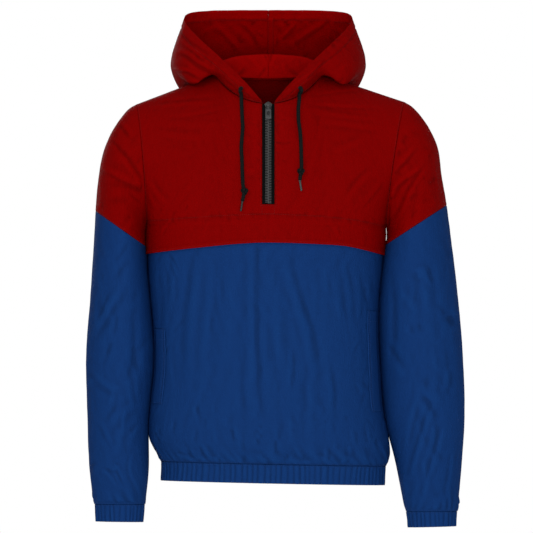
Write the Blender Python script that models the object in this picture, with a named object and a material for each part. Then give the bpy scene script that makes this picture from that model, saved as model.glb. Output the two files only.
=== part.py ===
"""Half-zip hooded anorak pullover in thin woven nylon, filled out and hanging.

Frame: metres, +Z up, the front of the garment faces -Y, the wearer's left side is at +X.
The origin is the middle of the neck. Sizes below are in millimetres.
"""
from math import acos, asin, atan2, cos, pi, radians, sin, sqrt
from typing import NamedTuple

import bpy
from mathutils import Matrix, Vector

MM = 0.001
SHARP_ANGLE = radians(40)  # edges of a bar that stay sharp

# Cloth and seams
CLOTH = 1.5                # wall of every cloth panel
ELASTIC_WALL = 2.4         # hem band and cuffs: two layers of cloth over elastic
SEAM_GAP = 0.3             # space between two pieces that are sewn together
SLEEVE_GAP = 0.8           # the armhole seam bends, so its walls need more room
SHOULDER_GAP = 0.9         # so does the shoulder seam
HOOD_LIFT = 1.0            # hood above the neck edge of the yokes
BODY_SQUARENESS = 2.3      # exponent of the body's rounded-rectangle section

# Neckline: an ellipse that is low in front and high behind
NECK_HALF_WIDTH = 88.0
NECK_FRONT = 91.0
NECK_BACK = 59.0
NECK_CENTRE_Y = 3.0
NECK_SIDE_Z = 20.0
NECK_FRONT_DROP = 51.0
NECK_BACK_DROP = 8.0
NECK_DROP_POWER = 1.5      # the neckline stays high at the sides and dips at the front

# Half zip in the front yoke
NECK_FRONT_Z = NECK_SIDE_Z - NECK_FRONT_DROP
SLOT_HALF = 10.5           # half width of the slot that shows the zip
SLOT_END_Z = -199.0
TAPE_OUTER = 14.0          # half width of both tapes, the last 3.5 mm behind the cloth
TAPE_SET_BACK = 1.0        # the tapes' outer edges lie this much deeper
TAPE_WALL = 1.0
TEETH_HALF = 5.3
TEETH_DEPTH = 2.0
TEETH_TOP_Z = -31.5

# Yokes and the front body that hangs from behind the flap
CHEST_Z = -235.0
NECK_SHARE = 0.28          # share of the yoke's width that starts at the neckline
FRONT_SWELL = 58.0         # how far the armhole edge bows to the front
BACK_SWELL = 52.0
ARMHOLE_BOW = 4.0          # how far it bows towards the body
FLAP_CLEAR = 2.0           # front body behind the flap, at the sides
FLAP_LIFT = 1.5            # and how much further at the flap's middle
FLAP_MIDDLE_Z = -262.0     # the flap's free edge at its middle
FLAP_END_Z = -284.0        # and at its ends
FLAP_RELEASE_Z = -325.0    # where the front body is back on the garment's surface
FRONT_BODY_TOP_Z = -238.0
BACK_SEAM_Z = -270.0
BAND_TILT = 4.0            # the hem hangs this much lower on the wearer's left
TILT_START_Z = -560.0      # the tilt sets in here
BAND_TOP_Z = -634.0

# Drawcord
CORD_DIAMETER = 5.5
TIP_DIAMETER = 3.5
KNOT_DIAMETER = 12.5
EYELET_OUTER = 7.2
EYELET_HOLE = 5.0
EYELET_DEPTH = 1.6

# Zip slider and its pull
SLIDER_HALF_WIDTH = 6.5
SLIDER_TOP_Z = -26.5
SLIDER_BOTTOM_Z = -36.0
SLIDER_PLATE = 2.6
PIN_RADIUS = 0.8
PIN_Z = -36.6
PIN_STAND_OFF = 2.4        # from the slider's face to the pin's axis
LUG_INNER = 2.6
LUG_OUTER = 3.7
PULL_EYE_OUTER = 2.0
PULL_EYE_INNER = 1.15
PULL_NECK_HALF = 2.2
PULL_HALF_WIDTH = 5.0
PULL_TOP_Z = -40.0
PULL_END_Z = -56.0
PULL_WALL = 1.5
PULL_HOLE = (4.2, 6.0, -46.0)   # width, height, middle


class BodyRing(NamedTuple):
    """One level section of the garment's body."""
    name: str
    z: float
    left: float
    right: float
    front: float
    back: float


BODY_RINGS = [
    BodyRing("chest", -235, 205.0, 198.0, 122, 120),
    BodyRing("flap_hem", -284, 204.8, 195.2, 125, 119),
    BodyRing("ribs", -341, 200.0, 188.0, 123, 114),
    BodyRing("waist", -407, 194.0, 185.5, 119, 109),
    BodyRing("low_waist", -470, 192.5, 188.0, 119, 110),
    BodyRing("hip", -536, 199.0, 192.5, 121, 114),
    BodyRing("fullest", -590, 200.4, 202.5, 122, 117),
    BodyRing("tuck", -612, 191.0, 204.0, 119, 114),
    BodyRing("band_top", -634, 180.5, 198.0, 110, 106),
    BodyRing("band_end", -666, 181.0, 196.5, 108, 104),
]


class FlapPoint(NamedTuple):
    """Height of the flap's free edge at one place across the front."""
    x: float
    z: float


FLAP_EDGE = [
    FlapPoint(-205, -282), FlapPoint(-150, -275), FlapPoint(-102, -270), FlapPoint(-50, -265),
    FlapPoint(0, -263), FlapPoint(92, -266), FlapPoint(137, -270), FlapPoint(198, -284.5),
]


class SleeveRing(NamedTuple):
    """One section of a sleeve: its outer and inner point seen from the front, and its depths."""
    name: str
    outer_x: float
    outer_z: float
    inner_x: float
    inner_z: float
    front: float
    back: float


SLEEVE_RINGS = {
    -1: [
        SleeveRing("armhole", 222, -31, 205.0, -235, 58, 52),
        SleeveRing("cap_top", 239, -43, 206.5, -240, 62, 58),
        SleeveRing("cap", 261, -74, 207.5, -245, 68, 65),
        SleeveRing("upper_arm", 278, -115, 208.0, -251, 74, 72),
        SleeveRing("biceps", 286, -163, 207.6, -259, 78, 78),
        SleeveRing("colour_seam", 290, -210, 206.6, -269, 80, 81),
        SleeveRing("above_elbow", 293, -266, 205.0, -312, 77, 79),
        SleeveRing("elbow", 298.5, -351, 203.0, -376, 71, 75),
        SleeveRing("forearm", 306, -452, 199.5, -458, 65, 68),
        SleeveRing("low_forearm", 304, -545, 204.5, -560, 59, 59),
        SleeveRing("wrist_full", 301, -633, 200.5, -640, 51, 46),
        SleeveRing("wrist", 294.5, -688, 205.0, -689, 43, 36),
        SleeveRing("cuff_top", 292.5, -702, 206.3, -702, 38, 30),
        SleeveRing("cuff_end", 291, -731, 209.0, -732, 36, 28),
    ],
    1: [
        SleeveRing("armhole", 229, -27, 198.0, -235, 58, 52),
        SleeveRing("cap_top", 246, -39, 199.5, -240, 62, 58),
        SleeveRing("cap", 269, -69, 200.3, -245, 68, 65),
        SleeveRing("upper_arm", 285, -106, 200.6, -251, 74, 72),
        SleeveRing("biceps", 291.5, -152, 199.8, -258, 78, 78),
        SleeveRing("colour_seam", 299.5, -200, 198.3, -267, 80, 81),
        SleeveRing("above_elbow", 306, -250, 195.5, -310, 77, 79),
        SleeveRing("elbow", 316.5, -335, 190.5, -374, 71, 75),
        SleeveRing("forearm", 326, -440, 190.5, -456, 65, 68),
        SleeveRing("low_forearm", 330, -545, 201.0, -555, 59, 59),
        SleeveRing("wrist_full", 325.5, -625, 212.5, -628, 51, 46),
        SleeveRing("wrist", 319.5, -695, 226.0, -695, 43, 36),
        SleeveRing("cuff_top", 318, -714, 231.0, -714, 38, 30),
        SleeveRing("cuff_end", 316.5, -739, 234.0, -741, 36, 28),
    ],
}
COLOUR_SEAM_ROW = 5
CUFF_TOP_ROW = 12


class HoodSection(NamedTuple):
    """A section of the lowered hood, from the neck seam over the roll and pouch to the face edge.

    around is the place on the neckline in degrees: 0 centre front, 90 side, 180 centre back.
    """
    name: str
    around: float
    roll: tuple
    pouch: tuple
    reach: tuple
    edge: tuple


HOOD_SECTIONS = [
    HoodSection("front", 6.8, (10.7, -88.4, -29.3), (10.9, -88.9, -28.0),
                (11.1, -89.2, -26.7), (11.3, -89.4, -25.4)),
    HoodSection("front_band", 24, (37, -86, -17), (38, -88, -10), (38, -88, -3), (37, -86, 4)),
    HoodSection("collar", 42, (62, -74, -3), (66, -78, 8), (66, -78, 19), (63, -74, 30)),
    HoodSection("band_side", 60, (83, -49, 13), (93, -56, 25), (96, -57, 38), (91, -51, 57)),
    HoodSection("over_shoulder", 78, (102, -23, 22), (126, -34, 3), (141, -30, 36), (121, -22, 85)),
    HoodSection("side", 97, (108, 13, 27), (140, 16, 10), (161, 18, 38), (140, 16, 116)),
    HoodSection("shoulder_back", 115, (98, 44, 34), (139, 68, -14), (160, 76, 36), (136, 56, 125)),
    HoodSection("back_side", 142, (64, 64, 47), (96, 110, -42), (120, 142, 28), (96, 92, 128)),
    HoodSection("back", 163, (32, 71, 51), (50, 127, -54), (60, 169, 26), (48, 105, 129)),
    HoodSection("centre_back", 180, (0, 73, 52), (0, 132, -58), (0, 178, 26), (0, 108, 129)),
]
HOOD_TAPE_WIDTH = 9.4
HOOD_TAPE_WALL = 0.8
HOOD_TAPE_START = 7        # first row of the hood that the tape covers
HOOD_TAPE_END = 0.97       # share of the way to the face edge where it ends
TAPE_PAST_SEAM = 0.5       # the tape reaches this far past the seam


class CordPoint(NamedTuple):
    """A point of a drawcord: its place seen from the front, and how far it lifts off the cloth."""
    x: float
    z: float
    lift: float


CORD_ROUTES = {
    -1: [CordPoint(-45.3, -15, 7.0), CordPoint(-44.9, -27, 2.2), CordPoint(-44.2, -42, 0.8),
         CordPoint(-43.5, -57, 0.6), CordPoint(-42.7, -69, 0.6), CordPoint(-43.8, -85, 0.6),
         CordPoint(-45.0, -101, 0.6), CordPoint(-44.8, -113, 0.6), CordPoint(-44.0, -125, 0.6),
         CordPoint(-43.6, -140, 0.6), CordPoint(-43.0, -154, 1.0), CordPoint(-42.0, -168.5, 2.6)],
    1: [CordPoint(52.6, -14, 7.0), CordPoint(51.6, -26, 2.2), CordPoint(50.4, -38, 0.8),
        CordPoint(50.3, -50, 0.6), CordPoint(51.0, -62, 0.6), CordPoint(53.0, -76, 0.6),
        CordPoint(54.2, -90, 0.6), CordPoint(54.8, -104, 0.6), CordPoint(55.1, -118, 1.0),
        CordPoint(55.5, -135.5, 2.6)],
}


class CordEnd(NamedTuple):
    """The knot, the short tail under it and the tip of one drawcord, seen from the front."""
    knot: tuple
    tail_end: tuple
    tip_end: tuple


CORD_ENDS = {
    -1: CordEnd((-39.8, -177.5), (-43.3, -194), (-46.0, -211)),
    1: CordEnd((54.6, -144.5), (52.6, -159), (55.4, -177)),
}
EYELETS = {-1: (-45.4, -5.0), 1: (52.9, -4.0)}


class Welt(NamedTuple):
    """A side pocket's stitched edge strip: where it starts and ends down the body."""
    top_z: float
    end_z: float


POCKET_WELTS = {-1: Welt(-407, -534), 1: Welt(-378, -546)}
WELT_GAP = 0.4
WELT_WALL = 1.0


class Finish(NamedTuple):
    """Plain colour of one material, linear."""
    colour: tuple
    roughness: float
    metallic: float


FINISHES = {
    "red_nylon": Finish((0.196, 0.0, 0.0, 1.0), 0.55, 0.0),
    "blue_nylon": Finish((0.006, 0.032, 0.148, 1.0), 0.55, 0.0),
    "black_cord": Finish((0.006, 0.006, 0.006, 1.0), 0.8, 0.0),
    "black_zip_tape": Finish((0.003, 0.004, 0.004, 1.0), 0.8, 0.0),
    "grey_moulded_zip": Finish((0.045, 0.045, 0.045, 1.0), 0.45, 0.0),
    "gunmetal": Finish((0.07, 0.07, 0.07, 1.0), 0.4, 0.8),
}


# ---------------------------------------------------------------- smooth curves

def mix(a, b, share):
    """Point or number at a share of the way from a to b."""
    return a + (b - a) * share


def ramp(value, start, end):
    """0 before start, 1 after end, and a smooth rise between."""
    share = min(max((value - start) / (end - start), 0.0), 1.0)
    return share * share * (3.0 - 2.0 * share)


def smooth(knots, values, at):
    """Value at a place on the smooth curve that passes through every value at its knot."""
    last = len(knots) - 1
    at = min(max(at, knots[0]), knots[last])
    low = max(i for i in range(last) if knots[i] <= at)

    def slope(i):
        before = max(i - 1, 0)
        after = min(i + 1, last)
        return (values[after] - values[before]) / (knots[after] - knots[before])

    span = knots[low + 1] - knots[low]
    t = (at - knots[low]) / span
    start_weight = (1.0 + 2.0 * t) * (1.0 - t) ** 2
    return (values[low] * start_weight + values[low + 1] * (1.0 - start_weight)
            + slope(low) * (span * t * (1.0 - t) ** 2)
            - slope(low + 1) * (span * t * t * (1.0 - t)))


def spread(start, end, count):
    """Evenly spaced numbers from start to end, both counted."""
    return [start + (end - start) * i / (count - 1) for i in range(count)]


# ---------------------------------------------------------------- the body's form

def body_size(side, z):
    """Half width on one side, front depth and back depth of the body at a height."""
    knots = [-ring.z for ring in BODY_RINGS]
    widths = [ring.left if side < 0 else ring.right for ring in BODY_RINGS]
    return (smooth(knots, widths, -z),
            smooth(knots, [ring.front for ring in BODY_RINGS], -z),
            smooth(knots, [ring.back for ring in BODY_RINGS], -z))


def body_point(side, angle, z, front, inset=0.0):
    """Point on the body: angle 0 is the centre line and 90 degrees is the side seam."""
    width, front_depth, back_depth = body_size(side, z)
    power = 2.0 / BODY_SQUARENESS
    x = (width - inset) * sin(angle) ** power
    depth = (front_depth if front else back_depth) - inset - SEAM_GAP / 2
    y = SEAM_GAP / 2 + depth * max(cos(angle), 0.0) ** power
    tilt = BAND_TILT * ramp(-z, -TILT_START_Z, -BAND_TOP_Z) * side * x / width
    return Vector((side * x, -y if front else y, z - tilt))


def slot_angle(side, z):
    """Angle on the body at which its surface is one slot half width from the centre."""
    width = body_size(side, z)[0]
    return asin((SLOT_HALF / width) ** (BODY_SQUARENESS / 2.0))


def neck_point(around):
    """Point on the neckline: 0 is the centre front, pi / 2 the side and pi the centre back."""
    ahead = cos(around)
    reach = NECK_FRONT if ahead > 0 else NECK_BACK
    drop = NECK_FRONT_DROP if ahead > 0 else NECK_BACK_DROP
    return Vector((NECK_HALF_WIDTH * sin(around), NECK_CENTRE_Y - reach * ahead,
                   NECK_SIDE_Z - drop * abs(ahead) ** NECK_DROP_POWER))


def shoulder_tip(side):
    """Top of the armhole, where the shoulder seam ends."""
    armhole = SLEEVE_RINGS[side][0]
    return Vector((armhole.outer_x, NECK_CENTRE_Y, armhole.outer_z))


def top_edge(side, across, front):
    """Top edge of a yoke: the neckline, then the shoulder seam out to the armhole."""
    start = asin(SLOT_HALF / NECK_HALF_WIDTH) if front else 0.0
    shift = Vector((0.0, (-SHOULDER_GAP if front else SHOULDER_GAP) / 2, 0.0))
    if across < NECK_SHARE:
        around = mix(start, pi / 2, across / NECK_SHARE)
        return neck_point(around if front else pi - around) + shift
    share = (across - NECK_SHARE) / (1.0 - NECK_SHARE)
    return mix(neck_point(pi / 2), shoulder_tip(side), share) + shift


def armhole_edge(side, down, front):
    """Edge of a yoke at the armhole, from the shoulder (0) to the armpit (1)."""
    armhole = SLEEVE_RINGS[side][0]
    bow = 2.0 * sqrt(max(down * (1.0 - down), 0.0))
    x = mix(armhole.outer_x, armhole.inner_x, down) - ARMHOLE_BOW * bow
    shift = mix(SHOULDER_GAP, SEAM_GAP, down) / 2
    y = mix(NECK_CENTRE_Y, 0.0, down) + (-FRONT_SWELL * bow - shift if front
                                         else BACK_SWELL * bow + shift)
    return Vector((x, y, mix(armhole.outer_z, armhole.inner_z, down)))


def centre_edge(side, down, front):
    """Middle of a yoke, from the neck (0) to the chest line (1)."""
    top = top_edge(side, 0.0, front)
    angle = slot_angle(side, CHEST_Z) if front else 0.0
    end = body_point(1, angle, CHEST_Z, front)
    point = mix(top, end, down)
    point.y = mix(top.y, end.y, down if front else down ** 0.6)
    return point


def yoke_point(side, across, down, front):
    """Point on a yoke above the chest line: across from centre to armhole, down from the top."""
    top = top_edge(side, across, front)
    start = slot_angle(side, CHEST_Z) if front else 0.0
    angle = mix(start, pi / 2, across)
    chest = body_point(side, angle, CHEST_Z, front)
    chest.x = abs(chest.x)

    def loft(top_point, chest_point):
        point = mix(top_point, chest_point, down)
        point.y = mix(top_point.y, chest_point.y, sqrt(max(2.0 * down - down * down, 0.0)))
        return point

    side_end = body_point(side, pi / 2, CHEST_Z, front)
    side_end.x = abs(side_end.x)
    centre_end = body_point(1, start, CHEST_Z, front)
    at_side = armhole_edge(side, down, front) - loft(top_edge(side, 1.0, front), side_end)
    at_centre = centre_edge(side, down, front) - loft(top_edge(side, 0.0, front), centre_end)
    point = loft(top, chest) + at_side * across ** 3 + at_centre * (1.0 - across) ** 3
    point.x *= side
    return point


def flap_edge_z(x):
    """Height of the flap's free edge."""
    return smooth([p.x for p in FLAP_EDGE], [p.z for p in FLAP_EDGE], x)


HALVINGS = 24              # steps of the search for a place on the yoke


def front_cloth_y(x, z):
    """Depth of the front yoke's outer face at a place seen from the front."""
    side = -1 if x < 0 else 1
    low = 0.0
    high = 1.0
    for _ in range(HALVINGS):
        across = (low + high) / 2
        top_z = top_edge(side, across, True).z
        point = yoke_point(side, across, max((z - top_z) / (CHEST_Z - top_z), 0.0), True)
        if abs(point.x) < abs(x):
            low = across
        else:
            high = across
    return point.y


# ---------------------------------------------------------------- making meshes

def clear_scene():
    """Remove every object, mesh, curve and material."""
    for item in list(bpy.data.objects):
        bpy.data.objects.remove(item, do_unlink=True)
    for group in (bpy.data.meshes, bpy.data.curves, bpy.data.materials):
        for item in list(group):
            group.remove(item)


def make_material(name):
    """A plain material from the table of finishes."""
    finish = FINISHES[name]
    material = bpy.data.materials.new(name)
    material.use_nodes = True
    shader = material.node_tree.nodes["Principled BSDF"]
    shader.inputs["Base Color"].default_value = finish.colour
    shader.inputs["Roughness"].default_value = finish.roughness
    shader.inputs["Metallic"].default_value = finish.metallic
    return material


def make_object(name, points, faces, material):
    """An object from points in millimetres, with its own copy of a material."""
    mesh = bpy.data.meshes.new(name)
    mesh.from_pydata([tuple(p * MM) for p in points], [], faces)
    mesh.validate()
    mesh.materials.append(make_material(material))
    item = bpy.data.objects.new(name, mesh)
    bpy.context.scene.collection.objects.link(item)
    return item


def add_wall(item, wall):
    """Give a sheet its thickness, inwards from its outer face."""
    modifier = item.modifiers.new("Wall", "SOLIDIFY")
    modifier.thickness = wall * MM
    modifier.offset = -1.0
    return item


def make_sheet(name, rows, wall, material, closed=False, flip=False, skip=None):
    """A cloth wall from rows of points; seen from outside, rows run down and points run right."""
    width = len(rows[0])
    points = [point for row in rows for point in row]
    faces = []
    for i in range(len(rows) - 1):
        for j in range(width if closed else width - 1):
            if skip and skip(i, j):
                continue
            nxt = (j + 1) % width
            face = (i * width + j, (i + 1) * width + j, (i + 1) * width + nxt, i * width + nxt)
            faces.append(face[::-1] if flip else face)
    used = sorted({index for face in faces for index in face})
    order = {old: new for new, old in enumerate(used)}
    faces = [tuple(order[index] for index in face) for face in faces]
    item = make_object(name, [points[index] for index in used], faces, material)
    item.data.shade_smooth()
    return add_wall(item, wall)


# ---------------------------------------------------------------- body panels

PANEL_COLUMNS = [0.0, 0.07, 0.14, 0.21, 0.28, 0.38, 0.48, 0.58, 0.67, 0.755, 0.84, 0.92, 1.0]
WELT_COLUMNS = PANEL_COLUMNS[8:11]
ZIP_SHARE = (SLOT_END_Z - NECK_FRONT_Z) / (CHEST_Z - NECK_FRONT_Z)
ZIP_ROWS = 7               # rows of faces beside the slot
CHEST_ROWS = 2             # and from its end to the chest line
FLAP_ROWS = 2


def yoke_rows(front):
    """Shares down the yoke, closer together near the shoulder."""
    turn = acos(1.0 - ZIP_SHARE)
    angles = spread(0.0, turn, ZIP_ROWS + 1) + spread(turn, pi / 2, CHEST_ROWS + 1)[1:]
    return [1.0 - cos(angle) for angle in angles]


def build_front_yoke():
    """Front yoke from the shoulders to the flap's free edge, with the zip's slot."""
    rows = []
    for down in yoke_rows(True):
        left = [yoke_point(-1, across, down, True) for across in reversed(PANEL_COLUMNS)]
        right = [yoke_point(1, across, down, True) for across in PANEL_COLUMNS]
        rows.append(left + right)
    for share in spread(0.0, 1.0, FLAP_ROWS + 1)[1:]:
        row = []
        for side, columns in ((-1, reversed(PANEL_COLUMNS)), (1, PANEL_COLUMNS)):
            for across in columns:
                start = slot_angle(side, CHEST_Z)
                angle = mix(start, pi / 2, across)
                reach = body_size(side, CHEST_Z)[0] * sin(angle) ** (2.0 / BODY_SQUARENESS)
                z = mix(CHEST_Z, flap_edge_z(side * reach), share)
                row.append(body_point(side, mix(slot_angle(side, z), pi / 2, across), z, True))
        rows.append(row)
    middle = len(PANEL_COLUMNS) - 1
    make_sheet("front_yoke", rows, CLOTH, "red_nylon",
               skip=lambda i, j: j == middle and i < ZIP_ROWS)


def build_back_yoke():
    """Back yoke from the shoulders to the plain seam with the back body."""
    columns = PANEL_COLUMNS
    rows = []
    for down in yoke_rows(False):
        right = [yoke_point(1, across, down, False) for across in reversed(columns)]
        left = [yoke_point(-1, across, down, False) for across in columns[1:]]
        rows.append(right + left)
    rows.append(level_row(BACK_SEAM_Z + SEAM_GAP / 2, False))
    make_sheet("back_yoke", rows, CLOTH, "red_nylon")


def level_row(z, front, inset_at=None):
    """A level row of points across the front or the back of the body."""
    row = []
    first, second = (-1, 1) if front else (1, -1)
    for side, columns in ((first, list(reversed(PANEL_COLUMNS))), (second, PANEL_COLUMNS[1:])):
        for across in columns:
            angle = across * pi / 2
            inset = inset_at(z, angle) if inset_at else 0.0
            row.append(body_point(side, angle, z, front, inset))
    return row


def flap_inset(z, angle):
    """How far the front body lies behind the garment's outer surface under the flap."""
    release = 1.0 - ramp(-z, -FLAP_END_Z, -FLAP_RELEASE_Z)
    lift = FLAP_LIFT * cos(angle) * ramp(-z, -FRONT_BODY_TOP_Z, -FLAP_MIDDLE_Z)
    return (FLAP_CLEAR + lift) * release


BAND_GAP = 0.4             # between the body panels and the hem band
BODY_LEVELS = [FLAP_END_Z, -305, -341, -407, -470, -536, -572, -596, -616,
               BAND_TOP_Z + BAND_GAP / 2]


def build_body_panels():
    """Front and back body, from the chest down to the hem band."""
    front_levels = [FRONT_BODY_TOP_Z, FLAP_MIDDLE_Z] + BODY_LEVELS
    front = [level_row(z, True, flap_inset) for z in front_levels]
    make_sheet("front_body", front, CLOTH, "blue_nylon")
    back = [level_row(z, False) for z in [BACK_SEAM_Z - SEAM_GAP / 2] + BODY_LEVELS[1:]]
    make_sheet("back_body", back, CLOTH, "blue_nylon")


def build_hem_band():
    """Elastic band round the hem."""
    rows = []
    for z in (BAND_TOP_Z - BAND_GAP / 2, -650, -666):
        row = level_row(z, True) + level_row(z, False)
        rows.append(merge_ends(row))
    make_sheet("hem_band", rows, ELASTIC_WALL, "blue_nylon", closed=True)


def merge_ends(row):
    """Join the two points at each side seam into one."""
    half = len(row) // 2
    right = (row[half - 1] + row[half]) / 2
    left = (row[-1] + row[0]) / 2
    return [left] + row[1:half - 1] + [right] + row[half + 1:-1]


# ---------------------------------------------------------------- sleeves

SLEEVE_COLUMNS = 18


def sleeve_row(side, ring, centre_y=0.0, bow=0.0, gap=0.0):
    """A section of a sleeve, starting at its outer point and running over the front."""
    outer = Vector((ring.outer_x, 0.0, ring.outer_z))
    inner = Vector((ring.inner_x, 0.0, ring.inner_z))
    row = []
    for k in range(SLEEVE_COLUMNS):
        angle = 2 * pi * k / SLEEVE_COLUMNS
        point = mix(outer, inner, (1.0 - cos(angle)) / 2)
        swell = sin(angle)
        point.x += gap - bow * abs(swell)
        point.y = mix(centre_y, 0.0, (1.0 - cos(angle)) / 2)
        point.y -= swell * (ring.front if swell > 0 else ring.back)
        point.x *= side
        row.append(point)
    return row


def shift_row(row, distance):
    """A row moved along the sleeve, down and out."""
    return [point + Vector((0.0, 0.0, -distance)) for point in row]


def build_sleeve(side, word):
    """Upper sleeve, lower sleeve and cuff of one side."""
    rings = SLEEVE_RINGS[side]
    upper = [sleeve_row(side, rings[0], NECK_CENTRE_Y, ARMHOLE_BOW, SLEEVE_GAP)]
    for index, ring in enumerate(rings[1:COLOUR_SEAM_ROW + 1]):
        fade = max(0.0, 1.0 - 0.4 * (index + 1))
        upper.append(sleeve_row(side, ring, NECK_CENTRE_Y * fade, ARMHOLE_BOW * fade))
    lower = [sleeve_row(side, ring) for ring in rings[COLOUR_SEAM_ROW:CUFF_TOP_ROW + 1]]
    upper[-1] = shift_row(upper[-1], -SEAM_GAP)
    lower[0] = shift_row(lower[0], SEAM_GAP)
    lower[-1] = shift_row(lower[-1], -SEAM_GAP / 2)
    cuff = [sleeve_row(side, ring) for ring in rings[CUFF_TOP_ROW:]]
    cuff[0] = shift_row(cuff[0], SEAM_GAP / 2)
    flip = side > 0
    make_sheet(f"sleeve_upper_{word}", upper, CLOTH, "red_nylon", closed=True, flip=flip)
    make_sheet(f"sleeve_lower_{word}", lower, CLOTH, "blue_nylon", closed=True, flip=flip)
    make_sheet(f"cuff_{word}", cuff, ELASTIC_WALL, "blue_nylon", closed=True, flip=flip)


# ---------------------------------------------------------------- hood

HOOD_ACROSS = 17
HOOD_ALONG = 13


def hood_point(side, around, along):
    """Point on the hood's outer face: around 0 at the front to 1 at the back, along to the edge."""
    knots = spread(0.0, 1.0, len(HOOD_SECTIONS))
    knots.append(2.0 - knots[-2])
    neck = [neck_point(radians(s.around)) + Vector((0, 0, HOOD_LIFT)) for s in HOOD_SECTIONS]
    lines = [neck] + [[Vector(getattr(s, field)) for s in HOOD_SECTIONS]
                      for field in ("roll", "pouch", "reach", "edge")]
    for line in lines:
        before = line[-2]
        line.append(Vector((-before.x, before.y, before.z)))
    section = [smooth(knots, line, around) for line in lines]
    point = smooth([0.0, 0.2, 0.48, 0.7, 1.0], section, along)
    point.x = side * max(point.x, SEAM_GAP / 2)
    return point


def build_hood():
    """The two halves of the hood and the tape over their seam, on the hood's inner side."""
    for side, word in ((-1, "left"), (1, "right")):
        rows = [[hood_point(side, around, along) for around in spread(0.0, 1.0, HOOD_ACROSS)]
                for along in spread(0.0, 1.0, HOOD_ALONG)]
        make_sheet(f"hood_{word}", rows, CLOTH, "red_nylon", flip=side > 0)
    rows = []
    columns = spread(0.0, 1.0, HOOD_ACROSS)
    for along in spread(0.0, 1.0, HOOD_ALONG)[HOOD_TAPE_START:-1] + [HOOD_TAPE_END]:
        here = hood_point(1, 1.0, along)
        beside = hood_point(1, columns[-2], along)
        ahead = hood_point(1, 1.0, along + 0.01) - hood_point(1, 1.0, along - 0.01)
        inward = Vector((0.0, -ahead.z, ahead.y)).normalized()
        rise = inward * (CLOTH + SEAM_GAP + HOOD_TAPE_WALL)
        row = []
        for x in (-TAPE_PAST_SEAM, HOOD_TAPE_WIDTH / 2, HOOD_TAPE_WIDTH - TAPE_PAST_SEAM):
            point = mix(here, beside, max(x, 0.0) / beside.x) + rise
            point.x = x
            row.append(point)
        rows.append(row)
    make_sheet("hood_seam_tape", rows[::-1], HOOD_TAPE_WALL, "red_nylon")


# ---------------------------------------------------------------- pockets

def build_welts():
    """Stitched edge strip of each side pocket, lying on the front body."""
    for side, word in ((-1, "left"), (1, "right")):
        welt = POCKET_WELTS[side]
        inner = [z for z in BODY_LEVELS if welt.end_z < z < welt.top_z]
        rows = [[welt_point(side, across, z) for across in WELT_COLUMNS]
                for z in [welt.top_z] + inner + [welt.end_z]]
        make_sheet(f"pocket_welt_{word}", rows, WELT_WALL, "blue_nylon", flip=side < 0)


def welt_point(side, across, z):
    """Point on the front body between two of its levels, moved out by the welt's thickness."""
    above = min(level for level in BODY_LEVELS if level >= z)
    below = max(level for level in BODY_LEVELS if level <= z)
    share = (above - z) / (above - below) if above > below else 0.0
    rise = WELT_GAP + WELT_WALL
    ends = [body_point(side, across * pi / 2, level, True, -rise) for level in (above, below)]
    return mix(ends[0], ends[1], share)


# ---------------------------------------------------------------- zip

def zip_line(z, depth, x):
    """Point on the zip at a height, set back from the yoke's outer face."""
    down = max((z - NECK_FRONT_Z) / (CHEST_Z - NECK_FRONT_Z), 0.0)
    edge_y = centre_edge(1, down, True).y
    return Vector((x, edge_y + depth, z))


TAPE_DEPTH = CLOTH + SEAM_GAP + 0.1
TAPE_BELOW_SLOT = 5.0
TEETH_ABOVE_SLOT_END = 1.0
ZIP_LEVELS = 10


def build_zip():
    """Tapes behind the slot's edges and the closed row of teeth in front of them."""
    levels = spread(NECK_FRONT_Z, SLOT_END_Z - TAPE_BELOW_SLOT, ZIP_LEVELS)
    for side, word in ((-1, "left"), (1, "right")):
        columns = sorted((side * x, depth) for x, depth in
                         ((SEAM_GAP / 2, TAPE_DEPTH), (TAPE_OUTER, TAPE_DEPTH + TAPE_SET_BACK)))
        rows = [[zip_line(z, depth, x) for x, depth in columns] for z in levels]
        make_sheet(f"zip_tape_{word}", rows, TAPE_WALL, "black_zip_tape")
    rows = [[zip_line(z, TAPE_DEPTH - SEAM_GAP - TEETH_DEPTH, x) for x in (-TEETH_HALF, TEETH_HALF)]
            for z in spread(TEETH_TOP_Z, SLOT_END_Z + TEETH_ABOVE_SLOT_END, ZIP_LEVELS)]
    make_sheet("zip_teeth", rows, TEETH_DEPTH, "grey_moulded_zip")


def cylinder(name, radius, start, end, sides, material):
    """A round bar between two points."""
    axis = end - start
    turn = axis.to_track_quat("Z", "Y").to_matrix()
    ring = [Vector((radius * cos(2 * pi * k / sides), radius * sin(2 * pi * k / sides), 0.0))
            for k in range(sides)]
    points = [start + turn @ p for p in ring] + [end + turn @ p for p in ring]
    faces = [(k, (k + 1) % sides, sides + (k + 1) % sides, sides + k) for k in range(sides)]
    faces += [tuple(reversed(range(sides))), tuple(range(sides, 2 * sides))]
    item = make_object(name, points, faces, material)
    item.data.shade_smooth()
    item.data.set_sharp_from_angle(angle=SHARP_ANGLE)
    return item


def plate(name, outline, y_front, y_back, material):
    """A flat plate from its outline seen from the front, as (x, z) pairs running anticlockwise."""
    count = len(outline)
    points = [Vector((x, y_front, z)) for x, z in outline]
    points += [Vector((x, y_back, z)) for x, z in outline]
    faces = [tuple(range(count)), tuple(reversed(range(count, 2 * count)))]
    faces += [(k, count + k, count + (k + 1) % count, (k + 1) % count) for k in range(count)]
    return make_object(name, points, faces, material)


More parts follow.
